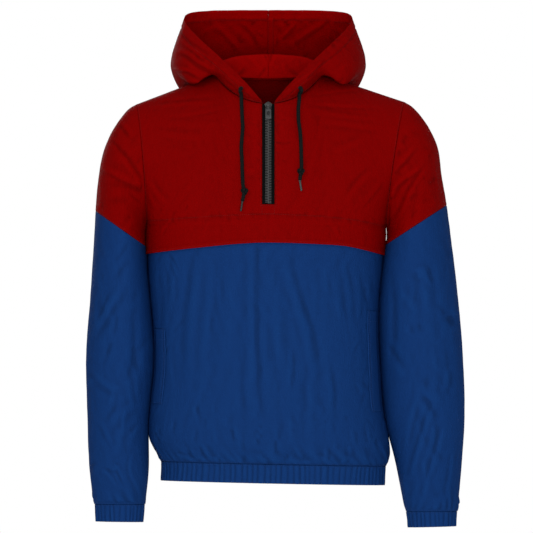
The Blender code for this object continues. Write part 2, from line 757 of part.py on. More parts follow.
def combine(item, other, operation):
    """Apply a Boolean with another object, which is then removed."""
    modifier = item.modifiers.new(operation.title(), "BOOLEAN")
    modifier.operation = operation
    modifier.solver = "EXACT"
    modifier.object = other
    graph = bpy.context.evaluated_depsgraph_get()
    mesh = bpy.data.meshes.new_from_object(item.evaluated_get(graph))
    item.modifiers.clear()
    item.data = mesh
    bpy.data.objects.remove(other, do_unlink=True)
    return item


def pin_frame():
    """Place of the pull's pin, turned so that its Y axis points straight into the zip."""
    above = zip_line(PIN_Z + 8.0, 0.0, 0.0)
    below = zip_line(PIN_Z - 16.0, 0.0, 0.0)
    lean = atan2(above.y - below.y, above.z - below.z)
    stand_off = TEETH_DEPTH + 2 * SEAM_GAP + SLIDER_PLATE + PIN_STAND_OFF - TAPE_DEPTH
    place = zip_line(PIN_Z, 0.0, 0.0) - Vector((0.0, stand_off, 0.0))
    return Matrix.Translation(place * MM) @ Matrix.Rotation(-lean, 4, "X")


def build_slider():
    """Slider: a diamond plate with two lugs that carry the pull's pin, made round the pin."""
    top = SLIDER_TOP_Z - PIN_Z
    bottom = SLIDER_BOTTOM_Z - PIN_Z
    middle = (top + bottom) / 2
    wide = SLIDER_HALF_WIDTH
    outline = [(0.0, top), (-wide, middle + 0.6), (-wide + 0.8, middle - 1.4),
               (-LUG_OUTER - 0.4, bottom), (LUG_OUTER + 0.4, bottom),
               (wide - 0.8, middle - 1.4), (wide, middle + 0.6)]
    face_y = PIN_STAND_OFF
    item = plate("zip_slider", outline, face_y, face_y + SLIDER_PLATE, "gunmetal")
    lug_side = [(face_y + 0.6, 4.0), (-0.4, 2.8), (-1.2, 0.0), (-0.4, -1.2), (0.6, -1.2),
                (face_y + 0.6, 0.8)]
    for sign in (-1, 1):
        lug = prism("lug", lug_side, *sorted((sign * LUG_INNER, sign * LUG_OUTER)))
        item = combine(item, lug, "UNION")
    end = Vector((LUG_OUTER - 0.3, 0.0, 0.0))
    item = combine(item, cylinder("pin", PIN_RADIUS, -end, end, 10, "gunmetal"), "UNION")
    item.matrix_world = pin_frame()
    return item


def prism(name, outline, x_start, x_end):
    """A solid from its outline seen from the side, as (y, z) pairs, between two places in x."""
    count = len(outline)
    points = [Vector((x, y, z)) for x in (x_start, x_end) for y, z in outline]
    faces = [tuple(range(count)), tuple(reversed(range(count, 2 * count)))]
    faces += [(k, count + k, count + (k + 1) % count, (k + 1) % count) for k in range(count)]
    return make_object(name, points, faces, "gunmetal")


def build_pull():
    """Pull tab: an eye round the pin, a short neck and a plate with a slot in it."""
    half = PULL_WALL / 2
    top = PULL_TOP_Z - PIN_Z
    end = PULL_END_Z - PIN_Z
    wide = PULL_HALF_WIDTH
    left = [(-PULL_NECK_HALF, -0.2), (-PULL_NECK_HALF, top + 1.2), (-wide + 0.6, top),
            (-wide, top - 0.8), (-wide, end + 0.8), (-wide + 0.8, end)]
    outline = left + [(-x, z) for x, z in reversed(left)]
    item = plate("zip_pull", outline, -half, half, "gunmetal")
    side = Vector((PULL_NECK_HALF, 0.0, 0.0))
    eye = cylinder("eye", PULL_EYE_OUTER, -side, side, 16, "gunmetal")
    item = combine(item, eye, "UNION")
    bore = cylinder("bore", PULL_EYE_INNER, -side * 2, side * 2, 12, "gunmetal")
    item = combine(item, bore, "DIFFERENCE")
    width, height, middle = PULL_HOLE
    middle -= PIN_Z
    hole = [(-width / 2, middle + height / 2), (-width / 2, middle - height / 2),
            (width / 2, middle - height / 2), (width / 2, middle + height / 2)]
    item = combine(item, plate("slot", hole, -3.0, 3.0, "gunmetal"), "DIFFERENCE")
    item.matrix_world = pin_frame()
    return item


# ---------------------------------------------------------------- drawcord

AROUND_SHARES = spread(0.02, 0.43, 250)   # where the search for the eyelet's place looks
ALONG_SHARES = spread(0.2, 1.0, 81)


def hood_front_place(side):
    """Point and outward direction on the hood's front band where the eyelet sits."""
    x_goal, z_goal = EYELETS[side]
    best = None
    for around_share in AROUND_SHARES:
        for along_share in ALONG_SHARES:
            point = hood_point(side, around_share, along_share)
            miss = (point.x - x_goal) ** 2 + (point.z - z_goal) ** 2
            if best is None or miss < best[0]:
                best = (miss, around_share, along_share, point)
    _, around, along, point = best
    step = 0.01
    across = hood_point(side, around + step, along) - hood_point(side, around - step, along)
    up = hood_point(side, around, along + step) - hood_point(side, around, along - step)
    outward = across.cross(up).normalized()
    if outward.y > 0:
        outward = -outward
    return point, outward


def ring_solid(name, place, outward, outer, hole, depth, material):
    """A flat ring that faces outward."""
    turn = outward.to_track_quat("Z", "Y").to_matrix()
    sides = 16
    profile = [(hole / 2, 0.0), (outer / 2, 0.0), (outer / 2, depth * 0.6), (outer / 2 - 0.6, depth),
               (hole / 2, depth)]
    points = []
    for k in range(sides):
        spin = 2 * pi * k / sides
        for radius, height in profile:
            points.append(place + turn @ Vector((radius * cos(spin), radius * sin(spin), height)))
    count = len(profile)
    faces = []
    for k in range(sides):
        for i in range(count):
            a = k * count + i
            b = k * count + (i + 1) % count
            c = ((k + 1) % sides) * count + (i + 1) % count
            d = ((k + 1) % sides) * count + i
            faces.append((a, d, c, b))
    return make_object(name, points, faces, material)


def tube(name, points, diameter, spacing, material):
    """A round cord through smooth points."""
    lengths = [0.0]
    for a, b in zip(points, points[1:]):
        lengths.append(lengths[-1] + (b - a).length)
    count = max(3, int(lengths[-1] / spacing) + 1)
    stations = spread(0.0, lengths[-1], count)
    stations[1:1] = [length for length in lengths[1:3] if length < stations[1] - 1.0]
    path = [smooth(lengths, points, at) for at in stations]
    curve = bpy.data.curves.new(name, "CURVE")
    curve.dimensions = "3D"
    curve.bevel_depth = diameter / 2 * MM
    curve.bevel_resolution = 2
    curve.use_fill_caps = True
    spline = curve.splines.new("POLY")
    spline.points.add(len(path) - 1)
    for spot, point in zip(spline.points, path):
        spot.co = (*(point * MM), 1.0)
    curve.materials.append(make_material(material))
    item = bpy.data.objects.new(name, curve)
    bpy.context.scene.collection.objects.link(item)
    return item


def hanging_point(x, z, lift, diameter):
    """Middle of a cord that hangs in front of the yoke."""
    return Vector((x, front_cloth_y(x, z) - diameter / 2 - lift, z))


def knot_solid(name, centre, material):
    """Outer shape of an overhand knot."""
    points = []
    sides = 12
    stacks = 7
    for i in range(1, stacks):
        polar = pi * i / stacks
        for k in range(sides):
            spin = 2 * pi * k / sides
            radius = KNOT_DIAMETER / 2
            points.append(centre + Vector((radius * sin(polar) * cos(spin),
                                           0.85 * radius * sin(polar) * sin(spin),
                                           0.9 * radius * cos(polar))))
    top = len(points)
    points.append(centre + Vector((0, 0, 0.9 * KNOT_DIAMETER / 2)))
    points.append(centre - Vector((0, 0, 0.9 * KNOT_DIAMETER / 2)))
    faces = []
    for i in range(stacks - 2):
        for k in range(sides):
            nxt = (k + 1) % sides
            faces.append((i * sides + k, (i + 1) * sides + k, (i + 1) * sides + nxt,
                          i * sides + nxt))
    for k in range(sides):
        nxt = (k + 1) % sides
        last = (stacks - 2) * sides
        faces.append((top, k, nxt))
        faces.append((top + 1, last + nxt, last + k))
    item = make_object(name, points, faces, material)
    item.data.shade_smooth()
    return item


def build_drawcord(side, word):
    """Eyelet, free end, knot, tail and tip on one side."""
    place, outward = hood_front_place(side)
    ring_solid(f"eyelet_{word}", place + outward * SEAM_GAP, outward, EYELET_OUTER, EYELET_HOLE,
               EYELET_DEPTH, "gunmetal")
    start = place + outward * (EYELET_DEPTH + 2.5 * SEAM_GAP)
    straight = start + outward * 2.2
    turn_down = straight + outward * 2.6 + Vector((0.0, 0.0, -3.6))
    route = [start, straight, turn_down] + [hanging_point(p.x, p.z, p.lift, CORD_DIAMETER)
                                            for p in CORD_ROUTES[side]]
    tube(f"cord_{word}", route, CORD_DIAMETER, 2.4 * CORD_DIAMETER, "black_cord")
    end = CORD_ENDS[side]
    knot_depth = 0.85 * KNOT_DIAMETER
    knot = hanging_point(end.knot[0], end.knot[1], 0.6, knot_depth)
    knot_solid(f"knot_{word}", knot, "black_cord")
    tail_end = hanging_point(end.tail_end[0], end.tail_end[1], 0.8, CORD_DIAMETER)
    below = tail_end - knot
    tail_start = knot + below.normalized() * (0.47 * KNOT_DIAMETER + SEAM_GAP)
    tube(f"tail_{word}", [tail_start, mix(tail_start, tail_end, 0.5), tail_end],
         CORD_DIAMETER, 2.5, "black_cord")
    tip_end = hanging_point(end.tip_end[0], end.tip_end[1], 1.0, TIP_DIAMETER)
    reach = tip_end - tail_end
    tip_start = tail_end + reach.normalized() * (2 * SEAM_GAP)
    cylinder(f"tip_{word}", TIP_DIAMETER / 2, tip_start, tip_end, 10, "grey_moulded_zip")


def main():
    """Build every piece of the garment."""
    clear_scene()
    build_front_yoke()
    build_back_yoke()
    build_body_panels()
    build_hem_band()
    for side, word in ((-1, "left"), (1, "right")):
        build_sleeve(side, word)
        build_drawcord(side, word)
    build_hood()
    build_welts()
    build_zip()
    build_slider()
    build_pull()


main()
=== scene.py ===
"""Half-zip hooded anorak pullover in thin crinkled nylon, filled out and held at its neck.

Sizes are millimetres and turn into metres where a mesh is made. +Z is up, the front faces -Y,
and the origin is the middle of the neck. Side -1 is the left of the front view, side 1 the right.
"""

import logging
from dataclasses import dataclass, field, replace
from enum import Enum
from math import cos, pi, radians, sin
from typing import ClassVar, Protocol

import bmesh
import bpy
import numpy as np
from mathutils import Matrix, Vector
from mathutils.bvhtree import BVHTree


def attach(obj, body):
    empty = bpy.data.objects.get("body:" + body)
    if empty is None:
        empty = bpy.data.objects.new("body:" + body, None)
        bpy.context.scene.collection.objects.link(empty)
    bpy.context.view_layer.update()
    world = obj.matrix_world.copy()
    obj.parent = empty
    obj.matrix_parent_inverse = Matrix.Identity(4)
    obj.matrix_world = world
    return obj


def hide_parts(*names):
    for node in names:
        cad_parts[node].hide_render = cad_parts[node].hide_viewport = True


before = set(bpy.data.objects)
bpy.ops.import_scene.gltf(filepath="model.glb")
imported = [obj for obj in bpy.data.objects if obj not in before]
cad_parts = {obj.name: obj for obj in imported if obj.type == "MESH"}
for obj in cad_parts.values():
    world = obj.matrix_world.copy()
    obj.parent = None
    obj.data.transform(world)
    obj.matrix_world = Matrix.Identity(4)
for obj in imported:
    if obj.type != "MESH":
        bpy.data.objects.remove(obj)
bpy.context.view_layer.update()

MM = 0.001
BODY = "garment"
log = logging.getLogger("anorak")


class Side(Enum):
    """A side of the garment, as the front view shows it."""

    LEFT = -1
    RIGHT = 1

    @property
    def word(self) -> str:
        """The side's word in the names of pieces."""
        return self.name.lower()


class Facing(Enum):
    """Which face of a panel a fold is on, by the way the cloth looks outwards."""

    FRONT = -1.0
    BACK = 1.0
    ALL = 0.0


# ---------------------------------------------------------------- smooth numbers

def ramp(value: np.ndarray, start: float, end: float) -> np.ndarray:
    """Rise smoothly from 0 at start to 1 at end."""
    share = np.clip((np.asarray(value, float) - start) / (end - start), 0.0, 1.0)
    return share * share * (3.0 - 2.0 * share)


def mix(a: np.ndarray, b: np.ndarray, share: np.ndarray) -> np.ndarray:
    """Go a share of the way from a to b."""
    return a + (b - a) * share


def stack(x: np.ndarray, y: np.ndarray, z: np.ndarray) -> np.ndarray:
    """Join three arrays of coordinates into one array of points."""
    return np.stack(np.broadcast_arrays(x, y, z), axis=-1).astype(float)


def smooth(knots: list, values: np.ndarray, at: np.ndarray) -> np.ndarray:
    """Follow the smooth curve that passes through every value at its knot.

    Args:
        knots: Rising places of the values.
        values: A number or a point for each knot, along the first axis.
        at: Places to read, of any shape.

    Returns:
        The curve's values, shaped as at and then as one value.
    """
    knots = np.asarray(knots, float)
    values = np.asarray(values, float)
    last = len(knots) - 1
    at = np.clip(np.asarray(at, float), knots[0], knots[-1])
    low = np.clip(np.searchsorted(knots, at, side="right") - 1, 0, last - 1)
    before = np.maximum(np.arange(last + 1) - 1, 0)
    after = np.minimum(np.arange(last + 1) + 1, last)
    extra = (1,) * (values.ndim - 1)
    slopes = (values[after] - values[before]) / (knots[after] - knots[before]).reshape(-1, *extra)
    span = (knots[low + 1] - knots[low]).reshape(*at.shape, *extra)
    t = ((at - knots[low]) / (knots[low + 1] - knots[low])).reshape(*at.shape, *extra)
    weight = (1.0 + 2.0 * t) * (1.0 - t) ** 2
    return (values[low] * weight + values[low + 1] * (1.0 - weight)
            + slopes[low] * (span * t * (1.0 - t) ** 2)
            - slopes[low + 1] * (span * t * t * (1.0 - t)))


def soft_noise(u: np.ndarray, v: np.ndarray, seed: int) -> np.ndarray:
    """Give smooth random heights from -1 to 1 with hills about one unit wide.

    Args:
        u: Places across, in hill widths.
        v: Places down, in hill widths.
        seed: Seed of the random table.

    Returns:
        A height for each place.
    """
    table = np.random.default_rng(seed).uniform(-1.0, 1.0, (97, 89))
    u, v = np.broadcast_arrays(np.asarray(u, float), np.asarray(v, float))
    column = np.floor(u).astype(int)
    row = np.floor(v).astype(int)
    across = ramp(u - column, 0.0, 1.0)
    down = ramp(v - row, 0.0, 1.0)
    corner = [[table[(column + i) % 97, (row + j) % 89] for j in (0, 1)] for i in (0, 1)]
    return mix(mix(corner[0][0], corner[1][0], across), mix(corner[0][1], corner[1][1], across), down)


def row_lengths(spots: np.ndarray) -> np.ndarray:
    """Measure how far along its row each point lies, from the row's start."""
    steps = np.linalg.norm(np.diff(spots, axis=1), axis=2)
    return np.concatenate([np.zeros((len(spots), 1)), np.cumsum(steps, axis=1)], axis=1)


def circle(radius: float, sides: int = 40) -> list:
    """List the points of a circle."""
    return [(radius * cos(2 * pi * k / sides), radius * sin(2 * pi * k / sides))
            for k in range(sides)]


# ---------------------------------------------------------------- finishes

def linear(colour: str) -> tuple:
    """Turn an sRGB hex colour into linear red, green, blue and alpha."""
    parts = [int(colour[i:i + 2], 16) / 255 for i in (1, 3, 5)]
    return (*(c / 12.92 if c <= 0.04045 else ((c + 0.055) / 1.055) ** 2.4 for c in parts), 1.0)


def add(tree: bpy.types.NodeTree, kind: str, settings: dict | None = None,
        links: dict | None = None) -> bpy.types.Node:
    """Add a node with its settings and links.

    Args:
        tree: Node tree that gets the node.
        kind: Blender's name of the node's type.
        settings: Properties by name, and input values by the socket's name or number.
        links: Output sockets that feed the inputs, by the input's name or number.

    Returns:
        The new node.
    """
    node = tree.nodes.new(kind)
    for key, value in (settings or {}).items():
        if isinstance(key, str) and hasattr(node, key):
            setattr(node, key, value)
        else:
            node.inputs[key].default_value = value
    for key, source in (links or {}).items():
        tree.links.new(source, node.inputs[key])
    return node


def new_material(name: str, settings: dict) -> tuple:
    """Make a material with a principled shader.

    Args:
        name: Name of the material.
        settings: Values of the shader's own sockets.

    Returns:
        The material, its tree and its shader node.
    """
    material = bpy.data.materials.new(name)
    material.use_nodes = True
    tree = material.node_tree
    shader = tree.nodes["Principled BSDF"]
    for key, value in settings.items():
        shader.inputs[key].default_value = value
    return material, tree, shader


def new_geometry_tree(name: str, made: str, inputs: dict) -> tuple:
    """Start a Geometry Nodes tree with named inputs.

    Args:
        name: Name of the tree.
        made: Name of what it gives out.
        inputs: Kind of each input, by its name.

    Returns:
        The tree, the outputs of its input node, and its input identifiers by name.
    """
    tree = bpy.data.node_groups.new(name, "GeometryNodeTree")
    sockets = {}
    for key, kind in inputs.items():
        socket = tree.interface.new_socket(key, in_out="INPUT", socket_type=f"NodeSocket{kind}")
        sockets[key] = socket.identifier
    tree.interface.new_socket(made, in_out="OUTPUT", socket_type="NodeSocketGeometry")
    return tree, add(tree, "NodeGroupInput").outputs, sockets


class Finish(Protocol):
    """Any finish: it has a name and builds its material."""

    name: str

    def make(self) -> bpy.types.Material:
        """Build the material."""


@dataclass(frozen=True)
class CrinkledNylon:
    """Plain-woven nylon taffeta, washed so that it crinkles.

    Fine thread gives a matt face that hardly shines. The crinkles run along the cloth's length.
    The colour ramp paints shade into the valleys of folds and crinkles and paints light onto their ridges.
    """

    name: str
    face: str
    valley_shade: str
    ridge_highlight: str
    roughness: float = 0.7
    specular: float = 0.02
    crinkle: tuple = (0.0055, 0.019)     # width and length of a crinkle, metres
    crinkle_depth: float = 0.00042
    thread: float = 0.0011               # real thread is 0.2 mm; drawn coarser so that it shows
    thread_depth: float = 0.00005

    def make(self) -> bpy.types.Material:
        """Build the material."""
        material, tree, shader = new_material(self.name, {
            "Roughness": self.roughness, "Specular IOR Level": self.specular})
        place = add(tree, "ShaderNodeUVMap", {"uv_map": "cloth"}).outputs["UV"]
        stretch = add(tree, "ShaderNodeMapping", {
            "Scale": (1 / self.crinkle[0], 1 / self.crinkle[1], 1.0)}, {"Vector": place})
        crinkle = add(tree, "ShaderNodeTexNoise", {
            "Scale": 1.0, "Detail": 2.5, "Roughness": 0.55, "Distortion": 0.9},
            {"Vector": stretch.outputs[0]})
        fine = add(tree, "ShaderNodeTexNoise", {"Scale": 420.0, "Detail": 1.0}, {"Vector": place})
        centred = add(tree, "ShaderNodeMath", {"operation": "SUBTRACT", 1: 0.5},
                      {0: crinkle.outputs[0]})
        crease = add(tree, "ShaderNodeMath", {"operation": "ABSOLUTE"}, {0: centred.outputs[0]})
        height = add(tree, "ShaderNodeMath", {"operation": "MULTIPLY_ADD", 1: 0.5},
                     {0: fine.outputs[0], 2: crease.outputs[0]})
        folded = add(tree, "ShaderNodeBump", {"Strength": 1.0, "Distance": self.crinkle_depth * 4},
                     {"Height": height.outputs[0]})
        waves = [add(tree, "ShaderNodeTexWave", {
            "bands_direction": way, "Scale": 0.314 / self.thread, "Distortion": 0.4},
            {"Vector": place}) for way in ("X", "Y")]
        weave = add(tree, "ShaderNodeMath", {"operation": "ADD"},
                    {0: waves[0].outputs["Fac"], 1: waves[1].outputs["Fac"]})
        woven = add(tree, "ShaderNodeBump", {"Strength": 0.8, "Distance": self.thread_depth},
                    {"Height": weave.outputs[0], "Normal": folded.outputs[0]})
        tree.links.new(woven.outputs[0], shader.inputs["Normal"])
        # Painted shade and painted highlight: the fold attribute and the crinkles' depth pick the base
        # colour, from the darker valley colour through the face to the paler ridge colour.
        fold = add(tree, "ShaderNodeAttribute", {"attribute_name": "fold"})
        tint = add(tree, "ShaderNodeMath", {"operation": "MULTIPLY_ADD", 1: 0.5},
                   {0: crease.outputs[0], 2: fold.outputs["Fac"]})
        tone = add(tree, "ShaderNodeValToRGB", {}, {"Fac": tint.outputs[0]})
        stops = tone.color_ramp.elements
        stops[0].position, stops[0].color = 0.12, linear(self.valley_shade)
        stops[1].position, stops[1].color = 0.95, linear(self.ridge_highlight)
        middle = stops.new(0.52)
        middle.color = linear(self.face)
        tree.links.new(tone.outputs[0], shader.inputs["Base Color"])
        return material


@dataclass(frozen=True)
class BraidedCord:
    """Round braided polyester cord: dull, with soft slanting strands that catch a little light."""

    name: str = "Braided polyester cord"
    face: str = "#101515"
    # Painted shade between the strands: colours mix from this dark one up to the face by the strand
    # attribute, together with random fibre tone.
    groove: str = "#000101"
    roughness: float = 0.75

    def make(self) -> bpy.types.Material:
        """Build the material."""
        material, tree, shader = new_material(self.name, {
            "Roughness": self.roughness, "Specular IOR Level": 0.12})
        place = add(tree, "ShaderNodeUVMap", {"uv_map": "cloth"}).outputs["UV"]
        fibre = add(tree, "ShaderNodeTexNoise", {"Scale": 900.0, "Detail": 2.0}, {"Vector": place})
        fold = add(tree, "ShaderNodeAttribute", {"attribute_name": "fold"})
        tint = add(tree, "ShaderNodeMath", {"operation": "MULTIPLY_ADD", 1: 0.35},
                   {0: fibre.outputs[0], 2: fold.outputs["Fac"]})
        tone = add(tree, "ShaderNodeValToRGB", {}, {"Fac": tint.outputs[0]})
        stops = tone.color_ramp.elements
        stops[0].position, stops[0].color = 0.2, linear(self.groove)
        stops[1].position, stops[1].color = 0.9, linear(self.face)
        tree.links.new(tone.outputs[0], shader.inputs["Base Color"])
        bump = add(tree, "ShaderNodeBump", {"Strength": 0.7, "Distance": 0.0002},
                   {"Height": fibre.outputs[0]})
        tree.links.new(bump.outputs[0], shader.inputs["Normal"])
        return material


@dataclass(frozen=True)
class ZipTapeWeave:
    """Tight twill polyester tape of a zip: almost black, ribbed along its length."""

    name: str = "Woven polyester zip tape"
    face: str = "#070909"
    rib: float = 0.0012

    def make(self) -> bpy.types.Material:
        """Build the material."""
        material, tree, shader = new_material(self.name, {
            "Base Color": linear(self.face), "Roughness": 0.8, "Specular IOR Level": 0.06})
        place = add(tree, "ShaderNodeUVMap", {"uv_map": "cloth"}).outputs["UV"]
        ribs = add(tree, "ShaderNodeTexWave", {"bands_direction": "X", "Scale": 0.314 / self.rib},
                   {"Vector": place})
        bump = add(tree, "ShaderNodeBump", {"Strength": 0.8, "Distance": 0.00015},
                   {"Height": ribs.outputs["Fac"]})
        tree.links.new(bump.outputs[0], shader.inputs["Normal"])
        return material


@dataclass(frozen=True)
class HardFinish:
    """Small hard fittings: moulded acetal teeth and tips, or painted zinc castings.

    A faint grain breaks up the gloss, as on shot-blasted moulds and sprayed paint.
    """

    name: str
    face: str
    roughness: float
    metallic: float = 0.0
    grain: float = 0.0004
    grain_depth: float = 0.00001

    def make(self) -> bpy.types.Material:
        """Build the material."""
        material, tree, shader = new_material(self.name, {
            "Base Color": linear(self.face), "Metallic": self.metallic})
        place = add(tree, "ShaderNodeTexCoord").outputs["Object"]
        grain = add(tree, "ShaderNodeTexNoise", {"Scale": 1 / self.grain, "Detail": 2.0},
                    {"Vector": place})
        gloss = add(tree, "ShaderNodeMapRange", {
            "To Min": self.roughness - 0.08, "To Max": self.roughness + 0.08},
            {"Value": grain.outputs[0]})
        bump = add(tree, "ShaderNodeBump", {"Strength": 0.5, "Distance": self.grain_depth},
                   {"Height": grain.outputs[0]})
        tree.links.new(gloss.outputs[0], shader.inputs["Roughness"])
        tree.links.new(bump.outputs[0], shader.inputs["Normal"])
        return material


@dataclass(frozen=True)
class SewingThread:
    """Spun polyester thread in the cloth's own colour, painted a shade paler as a painted highlight where
    it stands proud.
    """

    name: str
    face: str

    def make(self) -> bpy.types.Material:
        """Build the material."""
        material, tree, shader = new_material(self.name, {
            "Roughness": 0.7, "Specular IOR Level": 0.25})
        place = add(tree, "ShaderNodeTexCoord").outputs["Object"]
        fibre = add(tree, "ShaderNodeTexNoise", {"Scale": 1500.0, "Detail": 1.0}, {"Vector": place})
        tone = add(tree, "ShaderNodeMix", {"data_type": "RGBA"}, {"Factor": fibre.outputs[0]})
        tone.inputs[6].default_value = tuple(0.7 * c for c in linear(self.face)[:3]) + (1.0,)
        tone.inputs[7].default_value = linear(self.face)
        tree.links.new(tone.outputs[2], shader.inputs["Base Color"])
        return material


RED = CrinkledNylon("Red crinkled nylon", "#7E0000", "#6C0000", "#840000")
# Painted shade: the red inside is darker than the face, partly for the cloth's duller back and partly as
# shade inside the garment.
RED_INSIDE_SHADED = CrinkledNylon("Red nylon inside", "#6A0000", "#580000", "#720000")
# Painted light: the hood's inside is lighter than the red face, to stand in for light that does not reach
# the hood's hollow.
HOOD_INSIDE_PAINTED_LIGHT = CrinkledNylon("Red nylon inside the hood", "#960000", "#800000", "#9E0000")
BLUE = CrinkledNylon("Blue crinkled nylon", "#12356D", "#102E5F", "#133973")
# Painted shade: the blue inside is darker than the face, partly for the cloth's duller back and partly as
# shade inside the garment.
BLUE_INSIDE_SHADED = CrinkledNylon("Blue nylon inside", "#113165", "#0F2B58", "#12356C")


class Workroom:
    """Materials, made once each, and the way a finished piece joins the garment."""

    def __init__(self) -> None:
        """Start with no materials."""
        self._made: dict = {}

    def material(self, finish: Finish) -> bpy.types.Material:
        """Give a finish's material, made the first time it is asked for."""
        if finish.name not in self._made:
            self._made[finish.name] = finish.make()
        return self._made[finish.name]

    def hand_in(self, piece: bpy.types.Object, slot: str, *nodes: str,
                body: str = BODY) -> bpy.types.Object:
        """Fasten a finished piece to its body and hide the plain pieces that it stands for.

        Args:
            piece: The piece's object, in place.
            slot: Material slot that its finish comes from; not used.
            nodes: Plain pieces that it stands for.
            body: Body that carries it.

        Returns:
            The piece.
        """
        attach(piece, body)
        if nodes:
            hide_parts(*nodes)
        log.info("%s: %d faces on %s", piece.name, len(piece.data.polygons), body)
        return piece


ROOM = Workroom()


def link_mesh(name: str, points: np.ndarray, faces: list) -> bpy.types.Object:
    """Make an object from points in millimetres.

    Args:
        name: Name of the piece.
        points: Points of the mesh.
        faces: Tuples of point numbers.

    Returns:
        The object, linked to the scene and shaded smooth.
    """
    mesh = bpy.data.meshes.new(name)
    mesh.from_pydata((np.asarray(points, float) * MM).tolist(), [], faces)
    mesh.shade_smooth()
    item = bpy.data.objects.new(name, mesh)
    bpy.context.scene.collection.objects.link(item)
    return item


def tube_faces(rings: int, sides: int, closed: bool) -> list:
    """List the faces between rings of points; a closed tube's last ring meets its first."""
    return [(i * sides + k, i * sides + (k + 1) % sides,
             (i + 1) % rings * sides + (k + 1) % sides, (i + 1) % rings * sides + k)
            for i in range(rings if closed else rings - 1) for k in range(sides)]


def face_outwards(item: bpy.types.Object) -> None:
    """Turn every face of a closed solid outwards."""
    solid = bmesh.new()
    solid.from_mesh(item.data)
    bmesh.ops.recalc_face_normals(solid, faces=solid.faces)
    solid.to_mesh(item.data)
    solid.free()


def settle(item: bpy.types.Object) -> None:
    """Turn an object with modifiers into a plain mesh at the origin."""
    graph = bpy.context.evaluated_depsgraph_get()
    mesh = bpy.data.meshes.new_from_object(item.evaluated_get(graph))
    item.modifiers.clear()
    mesh.transform(item.matrix_world)
    item.data = mesh
    item.matrix_world = Matrix.Identity(4)
    mesh.name = item.name


# ---------------------------------------------------------------- folds

@dataclass(frozen=True)
class Fold:
    """A crease or soft fold on a panel, placed as the front view shows it.

    line is its points (x, z), height its rise (a trough is below 0), width the distance to
    where it has faded, lee the share of an opposite fold beside it (right of the line if above
    0), keen how sharp its crest is, and ends the share of its height at its start and end.
    """

    line: tuple
    height: float
    width: float
    lee: float = 0.0
    keen: float = 0.0
    ends: tuple = (0.0, 0.0)
    facing: Facing = Facing.FRONT

    def rise(self, x: np.ndarray, z: np.ndarray, outward_y: np.ndarray) -> np.ndarray:
        """Give the fold's height at each point of a panel.

        Args:
            x: Places across, as the front view shows them.
            z: Heights.
            outward_y: How far the cloth looks to the back, from -1 to 1.

        Returns:
            Heights in millimetres.
        """
        line = np.asarray(self.line, float)
        if len(line) > 2:
            line = smooth(range(len(line)), line, np.linspace(0, len(line) - 1, 4 * len(line)))
        steps = np.diff(line, axis=0)
        lengths = np.hypot(steps[:, 0], steps[:, 1])
        total = lengths.sum()
        nearest = np.full(x.shape, 1e9)
        signed = np.zeros(x.shape)
        along = np.zeros(x.shape)
        for start, step, length, done in zip(line, steps, lengths, np.cumsum(lengths) - lengths):
            dx = x - start[0]
            dz = z - start[1]
            share = np.clip((dx * step[0] + dz * step[1]) / length ** 2, 0.0, 1.0)
            off = np.hypot(dx - share * step[0], dz - share * step[1])
            closer = off < nearest
            nearest = np.where(closer, off, nearest)
            side = np.sign(dx * -step[1] + dz * step[0])
            signed = np.where(closer, off * -side, signed)
            along = np.where(closer, (done + share * length) / total, along)
        taper = (mix(self.ends[0], 1.0, ramp(along, 0.0, 0.35))
                 * mix(1.0, self.ends[1], ramp(along, 0.6, 1.0)))
        reach = nearest / self.width
        crest = mix(np.exp(-reach ** 2), np.exp(-1.6 * reach), self.keen)
        if self.lee:
            beside = (signed * np.sign(self.lee) - 1.7 * self.width) / (1.1 * self.width)
            ahead = 1.0 - ramp(nearest, 2.5 * self.width, 4.5 * self.width)
            crest = crest - abs(self.lee) * np.exp(-beside ** 2) * ahead
        height = self.height * crest * taper
        if self.facing is not Facing.ALL:
            height = height * ramp(outward_y * self.facing.value, 0.0, 0.3)
        return height


def placed(facing: Facing, *folds: Fold) -> tuple:
    """Put folds on one face of a panel."""
    return tuple(replace(fold, facing=facing) for fold in folds)


def scatter(seed: int, count: int, box: tuple, length: tuple, lean: tuple, height: tuple,
            width: tuple, facing: Facing = Facing.FRONT, keen: float = 0.5) -> list:
    """Scatter small uneven folds over a region.

    Args:
        seed: Seed of the random draws.
        count: How many folds.
        box: Left, right, top and bottom of the region as the front view shows it.
        length: Shortest and longest fold.
        lean: Middle and spread of the angle from straight down, in degrees.
        height: Least and greatest rise; half of the folds are troughs.
        width: Least and greatest width.
        facing: Face of the panel.
        keen: How sharp the crests are.

    Returns:
        The folds.
    """
    rng = np.random.default_rng(seed)
    folds = []
    for number in range(count):
        x = rng.uniform(box[0], box[1])
        z = rng.uniform(box[3], box[2])
        reach = rng.uniform(*length) / 2
        angle = radians(lean[0] + lean[1] * rng.uniform(-1, 1))
        bend = rng.uniform(-0.18, 0.18) * reach
        across, down = sin(angle), -cos(angle)
        line = ((x - across * reach, z - down * reach), (x - down * bend, z + across * bend),
                (x + across * reach, z + down * reach))
        sign = -1.0 if number % 2 else 1.0
        folds.append(Fold(line, sign * rng.uniform(*height), rng.uniform(*width),
                          lee=rng.uniform(-0.7, 0.7), keen=keen, facing=facing))
    return folds


